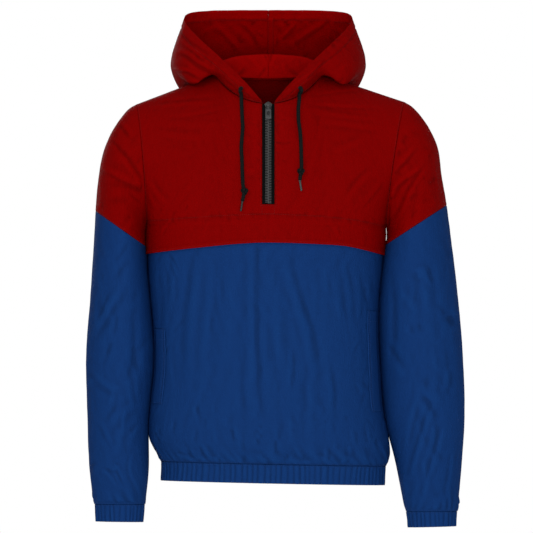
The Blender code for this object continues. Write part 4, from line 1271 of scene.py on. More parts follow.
@dataclass
class FrontYoke:
    """Front yoke from the shoulders to the free edge of its flap, with the zip's slot."""

    columns: int = 76
    beside_zip: int = 64
    below_zip: int = 13
    flap_rows: int = 18
    wall: float = 0.8
    chest_seam: tuple = ((-204, -227), (-140, -222), (-80, -218), (0, -215), (90, -219),
                         (150, -226), (198, -236))
    folds: tuple = (
        Fold(((-70, -26), (-140, -30), (-222, -38)), 1.0, 3.0, lee=0.7),
        Fold(((-60, -33), (-120, -46), (-180, -52)), 0.7, 2.8, lee=-0.6),
        Fold(((-92, -88), (-150, -84), (-205, -76)), 0.7, 5, lee=0.5),
        Fold(((-60, -64), (-120, -66), (-190, -60)), 0.4, 4, lee=0.5),
        Fold(((55, -28), (120, -33), (196, -35)), 1.1, 2.8, lee=0.7),
        Fold(((64, -17), (120, -8), (180, -4)), 0.8, 2.2, lee=0.6),
        Fold(((60, -40), (120, -50), (190, -56)), 1.0, 3.3, lee=-0.6),
        Fold(((75, -58), (140, -66), (200, -74)), 0.9, 4.4, lee=0.5),
        Fold(((100, -112), (130, -103), (170, -86)), 1.0, 5.0, lee=-0.4),
        Fold(((178, -140), (150, -166), (128, -200)), 1.4, 4.4, lee=0.7),
        Fold(((196, -150), (176, -176), (150, -208)), 1.2, 3.3, lee=-0.6),
        Fold(((-205, -150), (-190, -176), (-165, -204)), 1.2, 4.4, lee=-0.5),
        Fold(((-204, -168), (-196, -190), (-186, -214)), 1.0, 3.3, lee=0.6),
        Fold(((-182, -256), (-174, -238), (-158, -217)), 1.0, 2.5, lee=0.7, keen=0.5),
        Fold(((-112, -250), (-101, -232), (-92, -217)), 0.6, 2.2, lee=-0.6, keen=0.4),
        Fold(((98, -222), (110, -240), (122, -262)), 0.6, 2.8, lee=0.5),
        Fold(((160, -230), (168, -248), (172, -268)), 0.7, 2.8, lee=0.6),
        Fold(((6, -216), (5, -238), (4, -262)), 0.7, 2.8, lee=0.4, ends=(1.0, 0.4)),
        Fold(((22, -34), (20, -60), (24, -92)), 0.8, 2.8, lee=0.7),
        Fold(((-22, -40), (-24, -80), (-20, -120)), 0.7, 3.3, lee=-0.6),
    )

    def build(self) -> ClothPanel:
        """Make the yoke and note its seam lines.

        Returns:
            The yoke's panel.
        """
        across = np.linspace(0.0, 1.0, self.columns)
        zip_share = ((FORM.slot_end_z - FORM.neck_front_z) / (FORM.chest_z - FORM.neck_front_z))
        down = yoke_downs(zip_share, self.beside_zip, self.below_zip)[:, None]
        left = FORM.yoke_point(-1, across[::-1][None], down, True)
        right = FORM.yoke_point(1, across[None], down, True)
        soften(left, across[::-1], down)
        soften(right, across, down)
        share = np.linspace(0.0, 1.0, self.flap_rows + 1)[1:, None]
        left = np.concatenate([left, self._flap(-1, across[::-1], share)])
        right = np.concatenate([right, self._flap(1, across, share)])
        bridge = [mix(left[:, -1:], right[:, :1], part) for part in np.linspace(0, 1, 8)[1:-1]]
        spots = np.concatenate([left, *bridge, right], axis=1)
        keep = np.ones((spots.shape[0] - 1, spots.shape[1] - 1), bool)
        keep[:self.beside_zip, self.columns - 1:1 - self.columns] = False
        panel = ClothPanel("anorak_front_yoke", spots, keep=keep)
        self._shape(panel)
        panel.sew(RED, RED_INSIDE_SHADED, self.wall, "red_nylon", "front_yoke")
        self._seams(panel)
        return panel

    def _flap(self, side: int, across: np.ndarray, share: np.ndarray) -> np.ndarray:
        """Points of the flap below the chest line."""
        angle = mix(FORM.slot_angle(side, FORM.chest_z), pi / 2, across)
        reach = FORM.body_point(side, angle, FORM.chest_z, True)[..., 0]
        z = mix(FORM.chest_z, FORM.flap_edge_z(reach), share)
        return FORM.body_point(side, mix(FORM.slot_angle(side, z), pi / 2, across), z, True)

    def _shape(self, panel: ClothPanel) -> None:
        """Fold, crumple and press the yoke."""
        x, z = panel.spots[..., 0], panel.spots[..., 2]
        seam = np.asarray(self.chest_seam, float)
        below = smooth(seam[:, 0], seam[:, 1], x) - z
        on_flap = ramp(below, -1.0, 3.0)
        panel.crumple(11, 21, 46, 0.36, creased=0.35)
        panel.crumple(12, 9, 15, 0.2, creased=0.6)
        panel.rise *= mix(1.0, 0.75, on_flap)
        panel.fold(self.folds, 0.6)
        panel.fold(scatter(21, 26, (-198, -40, -200, -222), (8, 20), (0, 40), (0.15, 0.45), (1.6, 2.8)))
        panel.fold(scatter(22, 22, (30, 192, -202, -230), (8, 20), (0, 40), (0.15, 0.45), (1.6, 2.8)))
        panel.fold(scatter(23, 26, (-190, 185, -226, -262), (8, 26), (12, 40), (0.15, 0.4), (1.8, 3.2)))
        panel.fold(scatter(24, 16, (-34, -13, -40, -195), (8, 18), (75, 18), (0.3, 0.7), (2.2, 3.4)))
        panel.fold(scatter(25, 16, (13, 34, -40, -195), (8, 18), (-75, 18), (0.3, 0.7), (2.2, 3.4)))
        panel.pucker(np.abs(below), x, 31, 0.5, 5.0, 6.0)
        panel.press(below, 0.6, 1.1)
        slot_away = np.where(z > FORM.slot_end_z, np.abs(x) - FORM.slot_half,
                             np.hypot(np.maximum(np.abs(x) - FORM.slot_half, 0),
                                      FORM.slot_end_z - z))
        panel.pucker(slot_away, z, 33, 0.35, 6.0, 7.0)
        panel.rise *= ramp(slot_away, -0.5, 5.0)
        panel.press(slot_away - 3.5, 0.35, 1.0)
        panel.pucker(panel.from_top, panel.from_start, 35, 0.4, 6.0, 7.0)
        panel.hold(top=6.0, start=7.0, end=7.0)
        at_side = ramp(np.minimum(panel.from_start, panel.from_end), 0.0, 14.0)
        panel.rise += at_side * ramp(below, 2.0, 14.0) * (1.1 + 0.4 * ramp(-panel.from_bottom, -7.0, -5.0))

    def _seams(self, panel: ClothPanel) -> None:
        """Note the yoke's stitched lines."""
        THREADS.run("red", panel.seen_at(self.chest_seam))
        THREADS.run("red", panel.parallel("bottom", 3.0))
        for side in (-1, 1):
            x = side * (FORM.slot_half + 2.6)
            THREADS.run("red", panel.seen_at([(x, -36), (x, FORM.slot_end_z - 2)]))
        half, top, end = FORM.slot_half, FORM.slot_end_z - 1.5, FORM.slot_end_z - 16.0
        box = [(-half, top), (-half, end), (half, end), (half, top), (-half, top)]
        THREADS.run("red", panel.seen_at(box, 1.5))
        THREADS.run("red", panel.parallel("start", 2.2, last=-self.flap_rows - 1))
        THREADS.run("red", panel.parallel("end", 2.2, last=-self.flap_rows - 1))


@dataclass
class BackYoke:
    """Back yoke from the shoulders to its plain seam with the back body."""

    columns: int = 72
    rows: int = 76
    wall: float = 0.8
    folds: tuple = placed(
        Facing.BACK,
        Fold(((-60, 10), (-120, -8), (-205, -34)), 1.2, 4.5, lee=0.6),
        Fold(((62, 8), (130, -14), (200, -30)), 1.3, 3.9, lee=0.6),
        Fold(((-150, -60), (-60, -76), (40, -70)), 1.7, 9.1, lee=0.4),
        Fold(((20, -110), (90, -104), (170, -84)), 1.4, 7.8, lee=-0.5),
        Fold(((-196, -140), (-170, -176), (-150, -230)), 1.8, 5.9, lee=0.6),
        Fold(((192, -136), (168, -180), (156, -236)), 1.7, 5.2, lee=-0.6),
        Fold(((-60, -150), (-66, -200), (-58, -262)), 1.4, 6.5, lee=0.5,
             ends=(0.0, 0.6)),
        Fold(((70, -140), (62, -210), (70, -264)), 1.3, 7.8, lee=-0.5,
             ends=(0.0, 0.6)),
    )

    def build(self) -> ClothPanel:
        """Make the yoke.

        Returns:
            The yoke's panel.
        """
        across = np.linspace(0.0, 1.0, self.columns)
        down = yoke_downs(0.8, self.rows - 16, 16)[:, None]
        right = FORM.yoke_point(1, across[::-1][None], down, False)
        left = FORM.yoke_point(-1, across[1:][None], down, False)
        soften(right, across[::-1], down)
        soften(left, across[1:], down)
        levels = np.linspace(FORM.chest_z, FORM.back_seam_z + FORM.seam_gap / 2, 13)[1:, None]
        right = np.concatenate([right, FORM.body_point(1, across[::-1][None] * pi / 2, levels, False)])
        left = np.concatenate([left, FORM.body_point(-1, across[1:][None] * pi / 2, levels, False)])
        panel = ClothPanel("anorak_back_yoke", np.concatenate([right, left], axis=1))
        panel.crumple(51, 24, 40, 0.56, creased=0.35)
        panel.crumple(52, 9, 15, 0.22, creased=0.6)
        panel.fold(list(self.folds))
        panel.fold(scatter(53, 34, (-185, 185, -40, -262), (14, 46), (10, 60), (0.4, 1.1), (3.5, 8),
                           Facing.BACK))
        panel.pucker(panel.from_bottom, panel.from_start, 55, 0.6)
        panel.pucker(panel.from_top, panel.from_start, 56, 0.4)
        panel.press(panel.from_bottom - 2.4, 0.3, 1.2)
        panel.hold(top=6.0, bottom=5.0, start=7.0, end=7.0)
        panel.sew(RED, RED_INSIDE_SHADED, self.wall, "red_nylon", "back_yoke")
        THREADS.run("red", panel.parallel("bottom", 2.4))
        THREADS.run("red", panel.parallel("top", 2.4, first=int(0.3 * self.columns) - 1,
                                          last=-int(0.3 * self.columns)))
        return panel


@dataclass
class BodyPanels:
    """Blue front and back body, gathered into the hem band."""

    columns: int = 78
    front_top_z: float = -238.0
    flap_clear: float = 2.0
    flap_lift: float = 1.5
    wall: float = 0.8
    gathered: float = 1.12
    front_folds: tuple = (
        Fold(((-20, -270), (-19, -400), (-12, -560)), -2.0, 5.9, lee=0.5, ends=(0.6, 0.0)),
        Fold(((33, -286), (54, -350), (78, -430), (88, -530)), -2.5, 7.2, lee=0.6, ends=(0.2, 0.2)),
        Fold(((8, -300), (14, -400), (26, -520)), 1.2, 7.8, lee=0.4),
        Fold(((-120, -262), (-134, -340), (-144, -430), (-140, -540)), -2.7, 7.8, lee=-0.5,
             ends=(0.5, 0.0)),
        Fold(((-57, -276), (-66, -380), (-66, -500)), 1.7, 13.0, lee=0.3),
        Fold(((-96, -280), (-100, -380), (-112, -500)), 1.4, 7.8, lee=0.5),
        Fold(((100, -276), (112, -340), (122, -430)), 1.5, 7.8, lee=-0.5),
        Fold(((128, -276), (140, -340), (146, -420)), -1.5, 4.5, lee=0.7, keen=0.3),
        Fold(((142, -290), (152, -350), (150, -430)), 1.2, 3.9, lee=-0.6, keen=0.3),
        Fold(((-170, -285), (-160, -330), (-168, -400)), 1.5, 5.2, lee=0.7, keen=0.3),
        Fold(((-186, -300), (-178, -360), (-184, -440)), -1.4, 4.5, lee=-0.6, keen=0.3),
        Fold(((-160, -380), (-166, -450), (-158, -530)), 1.4, 5.9, lee=-0.6, keen=0.2),
        Fold(((44, -430), (42, -480), (34, -530)), -1.4, 3.9, lee=0.6),
        Fold(((104, -450), (112, -520), (108, -580)), -1.7, 5.2, lee=0.6),
        Fold(((-40, -420), (-44, -500), (-34, -580)), -1.1, 5.9, lee=-0.4),
        Fold(((64, -470), (70, -540), (62, -600)), 1.4, 5.2, lee=0.6),
        Fold(((-113, -596), (-104, -612), (-91, -630)), 2.5, 3.2, lee=0.8, keen=0.3),
        Fold(((-131, -606), (-124, -618), (-114, -628)), 2.1, 2.9, lee=0.8, keen=0.3),
        Fold(((-157, -616), (-140, -622), (-126, -630)), 1.7, 2.9, lee=-0.7, keen=0.3),
        Fold(((-57, -568), (-53, -584), (-50, -597)), 1.7, 3.2, lee=0.8, keen=0.3),
        Fold(((132, -621), (126, -629), (122, -636)), 2.0, 2.9, lee=-0.8, keen=0.3),
        Fold(((38, -616), (35, -626), (33, -634)), 1.8, 2.9, lee=0.8, keen=0.3),
        Fold(((95, -605), (96, -620), (95, -635)), 2.0, 3.2, lee=-0.8, keen=0.3),
        Fold(((164, -574), (170, -592), (166, -606)), 1.4, 2.9, lee=0.7, keen=0.3),
        Fold(((180, -580), (176, -600), (184, -618)), 1.5, 3.2, lee=-0.7, keen=0.3),
    )
    back_folds: tuple = placed(
        Facing.BACK,
        Fold(((10, -285), (4, -400), (14, -540)), -2.0, 7.2, lee=0.5),
        Fold(((-50, -290), (-70, -400), (-74, -520)), -2.2, 7.8, lee=-0.5),
        Fold(((62, -290), (84, -390), (80, -540)), -2.4, 8.5, lee=0.5),
        Fold(((-120, -300), (-134, -380), (-124, -500)), 1.7, 7.8, lee=0.5),
        Fold(((124, -290), (140, -370), (136, -470)), 1.8, 7.2, lee=-0.5),
        Fold(((-24, -400), (-30, -480), (-22, -590)), 1.5, 7.8, lee=0.4),
        Fold(((164, -320), (170, -400), (162, -500)), -1.4, 5.2, lee=0.6, keen=0.3),
        Fold(((-166, -330), (-172, -420), (-164, -510)), 1.4, 5.2, lee=0.6, keen=0.3),
        Fold(((36, -470), (44, -540), (38, -600)), -1.5, 5.2, lee=-0.6),
    )

    def build(self) -> tuple:
        """Make both panels.

        Returns:
            The front's and the back's panel.
        """
        side = np.linspace(0.0, 1.0, self.columns) * pi / 2
        return self._front(side), self._back(side)

    def _grid(self, side: np.ndarray, levels: np.ndarray, front: bool, inset: bool) -> np.ndarray:
        """Lay out one panel's points from side seam to side seam."""
        halves = []
        first = -1 if front else 1
        for sign, angles in ((first, side[::-1]), (-first, side[1:])):
            depth = self._behind_flap(levels, angles[None]) if inset else 0.0
            halves.append(FORM.body_point(sign, angles[None], levels, front, depth))
        return np.concatenate(halves, axis=1)

    def _behind_flap(self, z: np.ndarray, angle: np.ndarray) -> np.ndarray:
        """How far the front body lies behind the garment's surface under the flap."""
        release = 1.0 - ramp(-z, 284, 325)
        return (self.flap_clear + self.flap_lift * np.cos(angle) * ramp(-z, 238, 262)) * release

    def _front(self, side: np.ndarray) -> ClothPanel:
        """Make the front, which hangs from behind the flap."""
        levels = np.linspace(self.front_top_z, FORM.band_top_z + 0.1, 146)[:, None]
        panel = ClothPanel("anorak_front_body", self._grid(side, levels, True, True))
        panel.crumple(61, 15, 62, 0.42, creased=0.35)
        panel.crumple(62, 7.5, 24, 0.25, creased=0.6)
        panel.fold(self.front_folds, 0.55)
        panel.fold(scatter(63, 40, (-196, -150, -250, -600), (16, 50), (0, 34), (0.25, 0.8), (2, 4.5)))
        panel.fold(scatter(64, 34, (140, 196, -270, -600), (14, 40), (0, 40), (0.25, 0.8), (2, 4.5)))
        panel.fold(scatter(65, 40, (-140, 140, -540, -632), (14, 44), (0, 26), (0.25, 0.75), (2, 4.5)))
        panel.fold(scatter(66, 30, (-140, 140, -280, -560), (40, 110), (0, 8), (0.2, 0.5), (4, 8),
                           keen=0.2))
        gathers = Gathers(67, (8, 21), (16, 62), (0.9, 2.9))
        panel.rise += gathers.rise(panel.from_start, panel.from_bottom, panel.from_start.max())
        hem_edge = FORM.flap_edge_z(panel.spots[..., 0])
        panel.rise *= ramp(hem_edge - panel.spots[..., 2], -8.0, 12.0)
        for sign in (-1, 1):
            self._calm_pocket(panel, sign)
        panel.press(panel.from_bottom - 2.0, 0.35, 1.2)
        panel.hold(bottom=4.0, start=6.0, end=6.0)
        panel.sew(BLUE, BLUE_INSIDE_SHADED, self.wall, "blue_nylon", "front_body",
                  rests_on=("anorak_front_yoke",), gathered=self.gathered)
        THREADS.run("blue", panel.parallel("bottom", 2.2))
        return panel

    def _calm_pocket(self, panel: ClothPanel, side: int) -> None:
        """Flatten the cloth where a pocket's edge strip lies."""
        top, end = POCKETS[side]
        x, z = panel.spots[..., 0], panel.spots[..., 2]
        outer = panel.from_start if side < 0 else panel.from_end
        strip = (ramp(outer, 16.0, 24.0) * (1.0 - ramp(outer, 52.0, 62.0))
                 * ramp(-z, -top - 12.0, -top) * (1.0 - ramp(-z, -end, -end + 12.0)))
        panel.rise *= 1.0 - 0.8 * strip * (x * side > 0)

    def _back(self, side: np.ndarray) -> ClothPanel:
        """Make the back."""
        levels = np.linspace(FORM.back_seam_z - FORM.seam_gap / 2, FORM.band_top_z + 0.1, 134)
        panel = ClothPanel("anorak_back_body", self._grid(side, levels[:, None], False, False))
        panel.crumple(71, 15, 62, 0.59, creased=0.35)
        panel.crumple(72, 7.5, 24, 0.25, creased=0.6)
        panel.fold(list(self.back_folds))
        panel.fold(scatter(73, 60, (-185, 185, -290, -600), (20, 70), (0, 18), (0.4, 1.2), (3.5, 8),
                           Facing.BACK))
        gathers = Gathers(74, (8, 21), (16, 66), (0.9, 2.9))
        panel.rise += gathers.rise(panel.from_start, panel.from_bottom, panel.from_start.max())
        panel.pucker(panel.from_top, panel.from_start, 75, 0.6)
        panel.press(panel.from_bottom - 2.0, 0.35, 1.2)
        panel.hold(top=5.0, bottom=4.0, start=6.0, end=6.0)
        panel.sew(BLUE, BLUE_INSIDE_SHADED, self.wall, "blue_nylon", "back_body",
                  rests_on=("anorak_back_yoke",), gathered=self.gathered)
        THREADS.run("blue", panel.parallel("bottom", 2.2))
        THREADS.run("blue", panel.parallel("top", 2.0))
        return panel


# top and end of each side pocket's edge strip
POCKETS = {-1: (-407.0, -534.0), 1: (-378.0, -546.0)}


@dataclass
class PocketWelts:
    """Stitched edge strips of the two side pockets, lying on the front body."""

    gap: float = 0.4
    wall: float = 0.9
    across: tuple = (0.67, 0.84)

    def build(self, front: ClothPanel) -> None:
        """Make both strips on the folded front.

        Args:
            front: The front body's panel.
        """
        surface = front.surface()
        middle = (surface.shape[1] - 1) // 2
        for side, reach in POCKETS.items():
            word = Side(side).word
            rows = [int(np.argmin(np.abs(front.spots[:, middle, 2] - z))) for z in reach]
            inner, outer = (int(round(middle + side * share * middle)) for share in self.across)
            first, last = sorted((inner, outer))
            area = (slice(rows[0], rows[1] + 1), slice(first, last + 1))
            lift = front.normals[area] * (self.gap + self.wall)
            panel = ClothPanel(f"anorak_pocket_welt_{word}", surface[area] + lift)
            inner_away = panel.from_end if side < 0 else panel.from_start
            panel.pucker(inner_away, panel.from_top, 81 + side, 0.5, 7.0, 6.0)
            panel.rise += 0.5 * (1.0 - ramp(inner_away, 0.0, 4.0))
            panel.press(inner_away - 5.5, 0.5, 1.3)
            panel.sew(BLUE, BLUE_INSIDE_SHADED, self.wall, "blue_nylon", f"pocket_welt_{word}",
                      held="stretched", rests_on=("anorak_front_body",))
            mouth = "end" if side < 0 else "start"
            for inset in (2.0, 6.5):
                THREADS.run("blue", panel.parallel(mouth, inset))
            for end, inset in (("top", 2.0), ("top", 18.0), ("bottom", 2.0)):
                THREADS.run("blue", panel.parallel(end, inset))


# ---------------------------------------------------------------- elastic edges

@dataclass(frozen=True)
class Ruching:
    """Upright ribs of cloth gathered over elastic: uneven in width, height and slant."""

    seed: int
    pitch: tuple = (6.5, 12.5)
    height: tuple = (1.0, 2.1)
    slant: float = 0.12

    def rise(self, panel: ClothPanel) -> np.ndarray:
        """Give the ribs' height on a panel that runs round its tube."""
        rng = np.random.default_rng(self.seed)
        girth = (panel.from_start + panel.from_end)[:, 0].mean()
        edges = [0.0]
        while edges[-1] < girth - 0.6 * self.pitch[1]:
            edges.append(edges[-1] + rng.uniform(*self.pitch))
        edges[-1] = girth
        heights = rng.uniform(*self.height, len(edges))
        share = panel.from_start / (panel.from_start + panel.from_end)
        slant = self.slant * soft_noise(share * 23, 0.5, self.seed + 3)
        round_it = np.mod(share * girth + slant * (panel.from_top - panel.from_top.max() / 2), girth)
        place = np.interp(round_it, edges, np.arange(len(edges), dtype=float))
        rib = place.astype(int) % (len(edges) - 1)
        crest = np.abs(np.sin(pi * (place - np.floor(place)))) ** 0.7
        wander = 1.0 + 0.35 * soft_noise(place * 0.9, panel.from_top / 14, self.seed + 5)
        return heights[rib] * crest * wander - 0.4 * self.height[1]


@dataclass
class HemBand:
    """Elastic band round the hem."""

    columns: int = 560
    rows: int = 15
    wall: float = 1.3
    sink: float = 1.0

    def _row(self, z: float) -> np.ndarray:
        """One closed row at a height, evenly spread, from the left seam over the front."""
        angles = np.linspace(0.0, pi / 2, 90)
        corners = np.concatenate([
            FORM.body_point(-1, angles[::-1], z, True, self.sink),
            FORM.body_point(1, angles[1:], z, True, self.sink),
            FORM.body_point(1, angles[::-1], z, False, self.sink)[1:],
            FORM.body_point(-1, angles[1:], z, False, self.sink)])
        lengths = row_lengths(corners[None])[0]
        at = np.linspace(0.0, lengths[-1], self.columns + 1)[:-1]
        return np.stack([np.interp(at, lengths, corners[:, k]) for k in range(3)], axis=-1)

    def build(self) -> ClothPanel:
        """Make the band.

        Returns:
            The band's panel.
        """
        levels = np.linspace(FORM.band_top_z - 0.1, FORM.band_end_z, self.rows)
        panel = ClothPanel("anorak_hem_band", np.stack([self._row(z) for z in levels]), closed=True)
        panel.rise += Ruching(91).rise(panel)
        panel.rise *= mix(0.55, 1.0, ramp(panel.from_top, 0.0, 6.0))
        panel.rise *= mix(0.75, 1.0, ramp(panel.from_bottom, 0.0, 5.0))
        panel.sew(BLUE, BLUE_INSIDE_SHADED, self.wall, "blue_nylon", "hem_band", held="gathered",
                  rests_on=("anorak_front_body", "anorak_back_body"), gathered=1.35)
        THREADS.run("blue", panel.parallel("top", 1.5))
        return panel


# ---------------------------------------------------------------- sleeves

# name, outer x, outer z, inner x, inner z, front depth, back depth
SLEEVES = {
    -1: (
        ("armhole", 222, -31, 205.0, -235, 58, 52), ("cap_top", 239, -43, 205.3, -240, 62, 58),
        ("cap", 261, -74, 205.5, -245, 68, 65), ("upper_arm", 278, -115, 205.6, -251, 74, 72),
        ("biceps", 286, -163, 205.6, -259, 78, 78), ("colour_seam", 290, -210, 205.3, -269, 80, 81),
        ("above_elbow", 293, -266, 202.4, -312, 77, 79), ("elbow", 298.5, -351, 196.2, -376, 71, 75),
        ("forearm", 306, -452, 190.6, -458, 65, 68), ("low_forearm", 304, -545, 199.9, -560, 59, 59),
        ("wrist_full", 301, -633, 200.5, -640, 51, 46), ("wrist", 294.5, -688, 205.0, -689, 43, 36),
        ("cuff_top", 292.5, -702, 206.3, -702, 38, 30), ("cuff_end", 291, -731, 209.0, -732, 36, 28),
    ),
    1: (
        ("armhole", 229, -27, 198.0, -235, 58, 52), ("cap_top", 246, -39, 198.4, -240, 62, 58),
        ("cap", 269, -69, 198.6, -245, 68, 65), ("upper_arm", 285, -106, 198.6, -251, 74, 72),
        ("biceps", 291.5, -152, 198.4, -258, 78, 78),
        ("colour_seam", 299.5, -200, 195.9, -267, 80, 81),
        ("above_elbow", 306, -250, 190.0, -310, 77, 79), ("elbow", 316.5, -335, 184.6, -374, 71, 75),
        ("forearm", 326, -440, 187.0, -456, 65, 68), ("low_forearm", 330, -545, 195.0, -555, 59, 59),
        ("wrist_full", 325.5, -625, 212.5, -628, 51, 46), ("wrist", 319.5, -695, 226.0, -695, 43, 36),
        ("cuff_top", 318, -714, 231.0, -714, 38, 30), ("cuff_end", 316.5, -739, 234.0, -741, 36, 28),
    ),
}

SLEEVE_FOLDS = {
    -1: (
        Fold(((-216, -160), (-236, -132), (-262, -94)), 1.8, 3.9, lee=0.8, keen=0.3, ends=(0.9, 0.0)),
        Fold(((-216, -166), (-262, -144), (-279, -134)), 2.0, 3.9, lee=-0.8, keen=0.3, ends=(0.9, 0.0)),
        Fold(((-214, -176), (-246, -168), (-276, -160)), -1.8, 6.6, ends=(0.8, 0.0)),
        Fold(((-222, -186), (-250, -192), (-280, -196)), -1.3, 8.8),
        Fold(((-212, -210), (-232, -232), (-250, -262)), 1.1, 5.0, lee=0.5),
        Fold(((-303, -433), (-268, -372), (-236, -321)), 2.4, 6.1, lee=0.7),
        Fold(((-212, -300), (-226, -400), (-214, -540)), -2.2, 7.7, lee=-0.4),
        Fold(((-290, -300), (-276, -360), (-262, -400)), 1.1, 5.5, lee=0.4),
        Fold(((-298, -470), (-272, -500), (-240, -510)), 1.2, 5.5, lee=0.6),
        Fold(((-285, -554), (-272, -580), (-258, -607)), 1.1, 3.9, lee=0.6),
        Fold(((-236, -455), (-226, -510), (-218, -556)), -1.4, 5.0, lee=0.6),
        Fold(((-272, -634), (-258, -643), (-254, -638), (-236, -675)), 1.3, 2.5, lee=0.8, keen=0.4),
        Fold(((-286, -640), (-268, -652), (-252, -676)), 1.2, 2.8, lee=-0.7, keen=0.3),
        Fold(((-226, -610), (-232, -640), (-222, -676)), 1.1, 2.8, lee=0.7, keen=0.3),
    ),
    1: (
        Fold(((204, -150), (201, -190), (200, -238)), -3.0, 3.3, lee=-0.3, ends=(0.5, 1.0)),
        Fold(((206, -182), (218, -161), (260, -132)), 2.0, 3.6, lee=0.8, keen=0.3, ends=(0.8, 0.0)),
        Fold(((272, -128), (240, -175), (221, -214), (204, -238)), 2.4, 4.1, lee=0.8, keen=0.2,
             ends=(0.0, 0.8)),
        Fold(((248, -97), (232, -116), (212, -140)), 1.4, 3.6, lee=-0.7, ends=(0.0, 0.7)),
        Fold(((258, -150), (244, -190), (228, -232)), -1.6, 6.6),
        Fold(((204, -290), (212, -380), (208, -500)), -2.3, 7.2, lee=0.4),
        Fold(((283, -519), (262, -580), (238, -658)), 2.0, 4.4, lee=0.7, ends=(0.0, 0.5)),
        Fold(((300, -560), (284, -610), (262, -680)), 1.7, 3.9, lee=0.7, ends=(0.0, 0.6)),
        Fold(((256, -500), (238, -560), (224, -640)), 1.6, 4.4, lee=-0.6),
        Fold(((276, -270), (286, -340), (290, -420)), 1.1, 6.1, lee=0.5),
        Fold(((312, -340), (306, -400), (316, -470)), 1.1, 5.5, lee=-0.5),
        Fold(((240, -300), (258, -330), (262, -390)), 1.2, 6.6, lee=0.5),
        Fold(((310, -600), (306, -650), (296, -700)), 1.3, 3.3, lee=0.7, ends=(0.0, 0.6)),
    ),
}


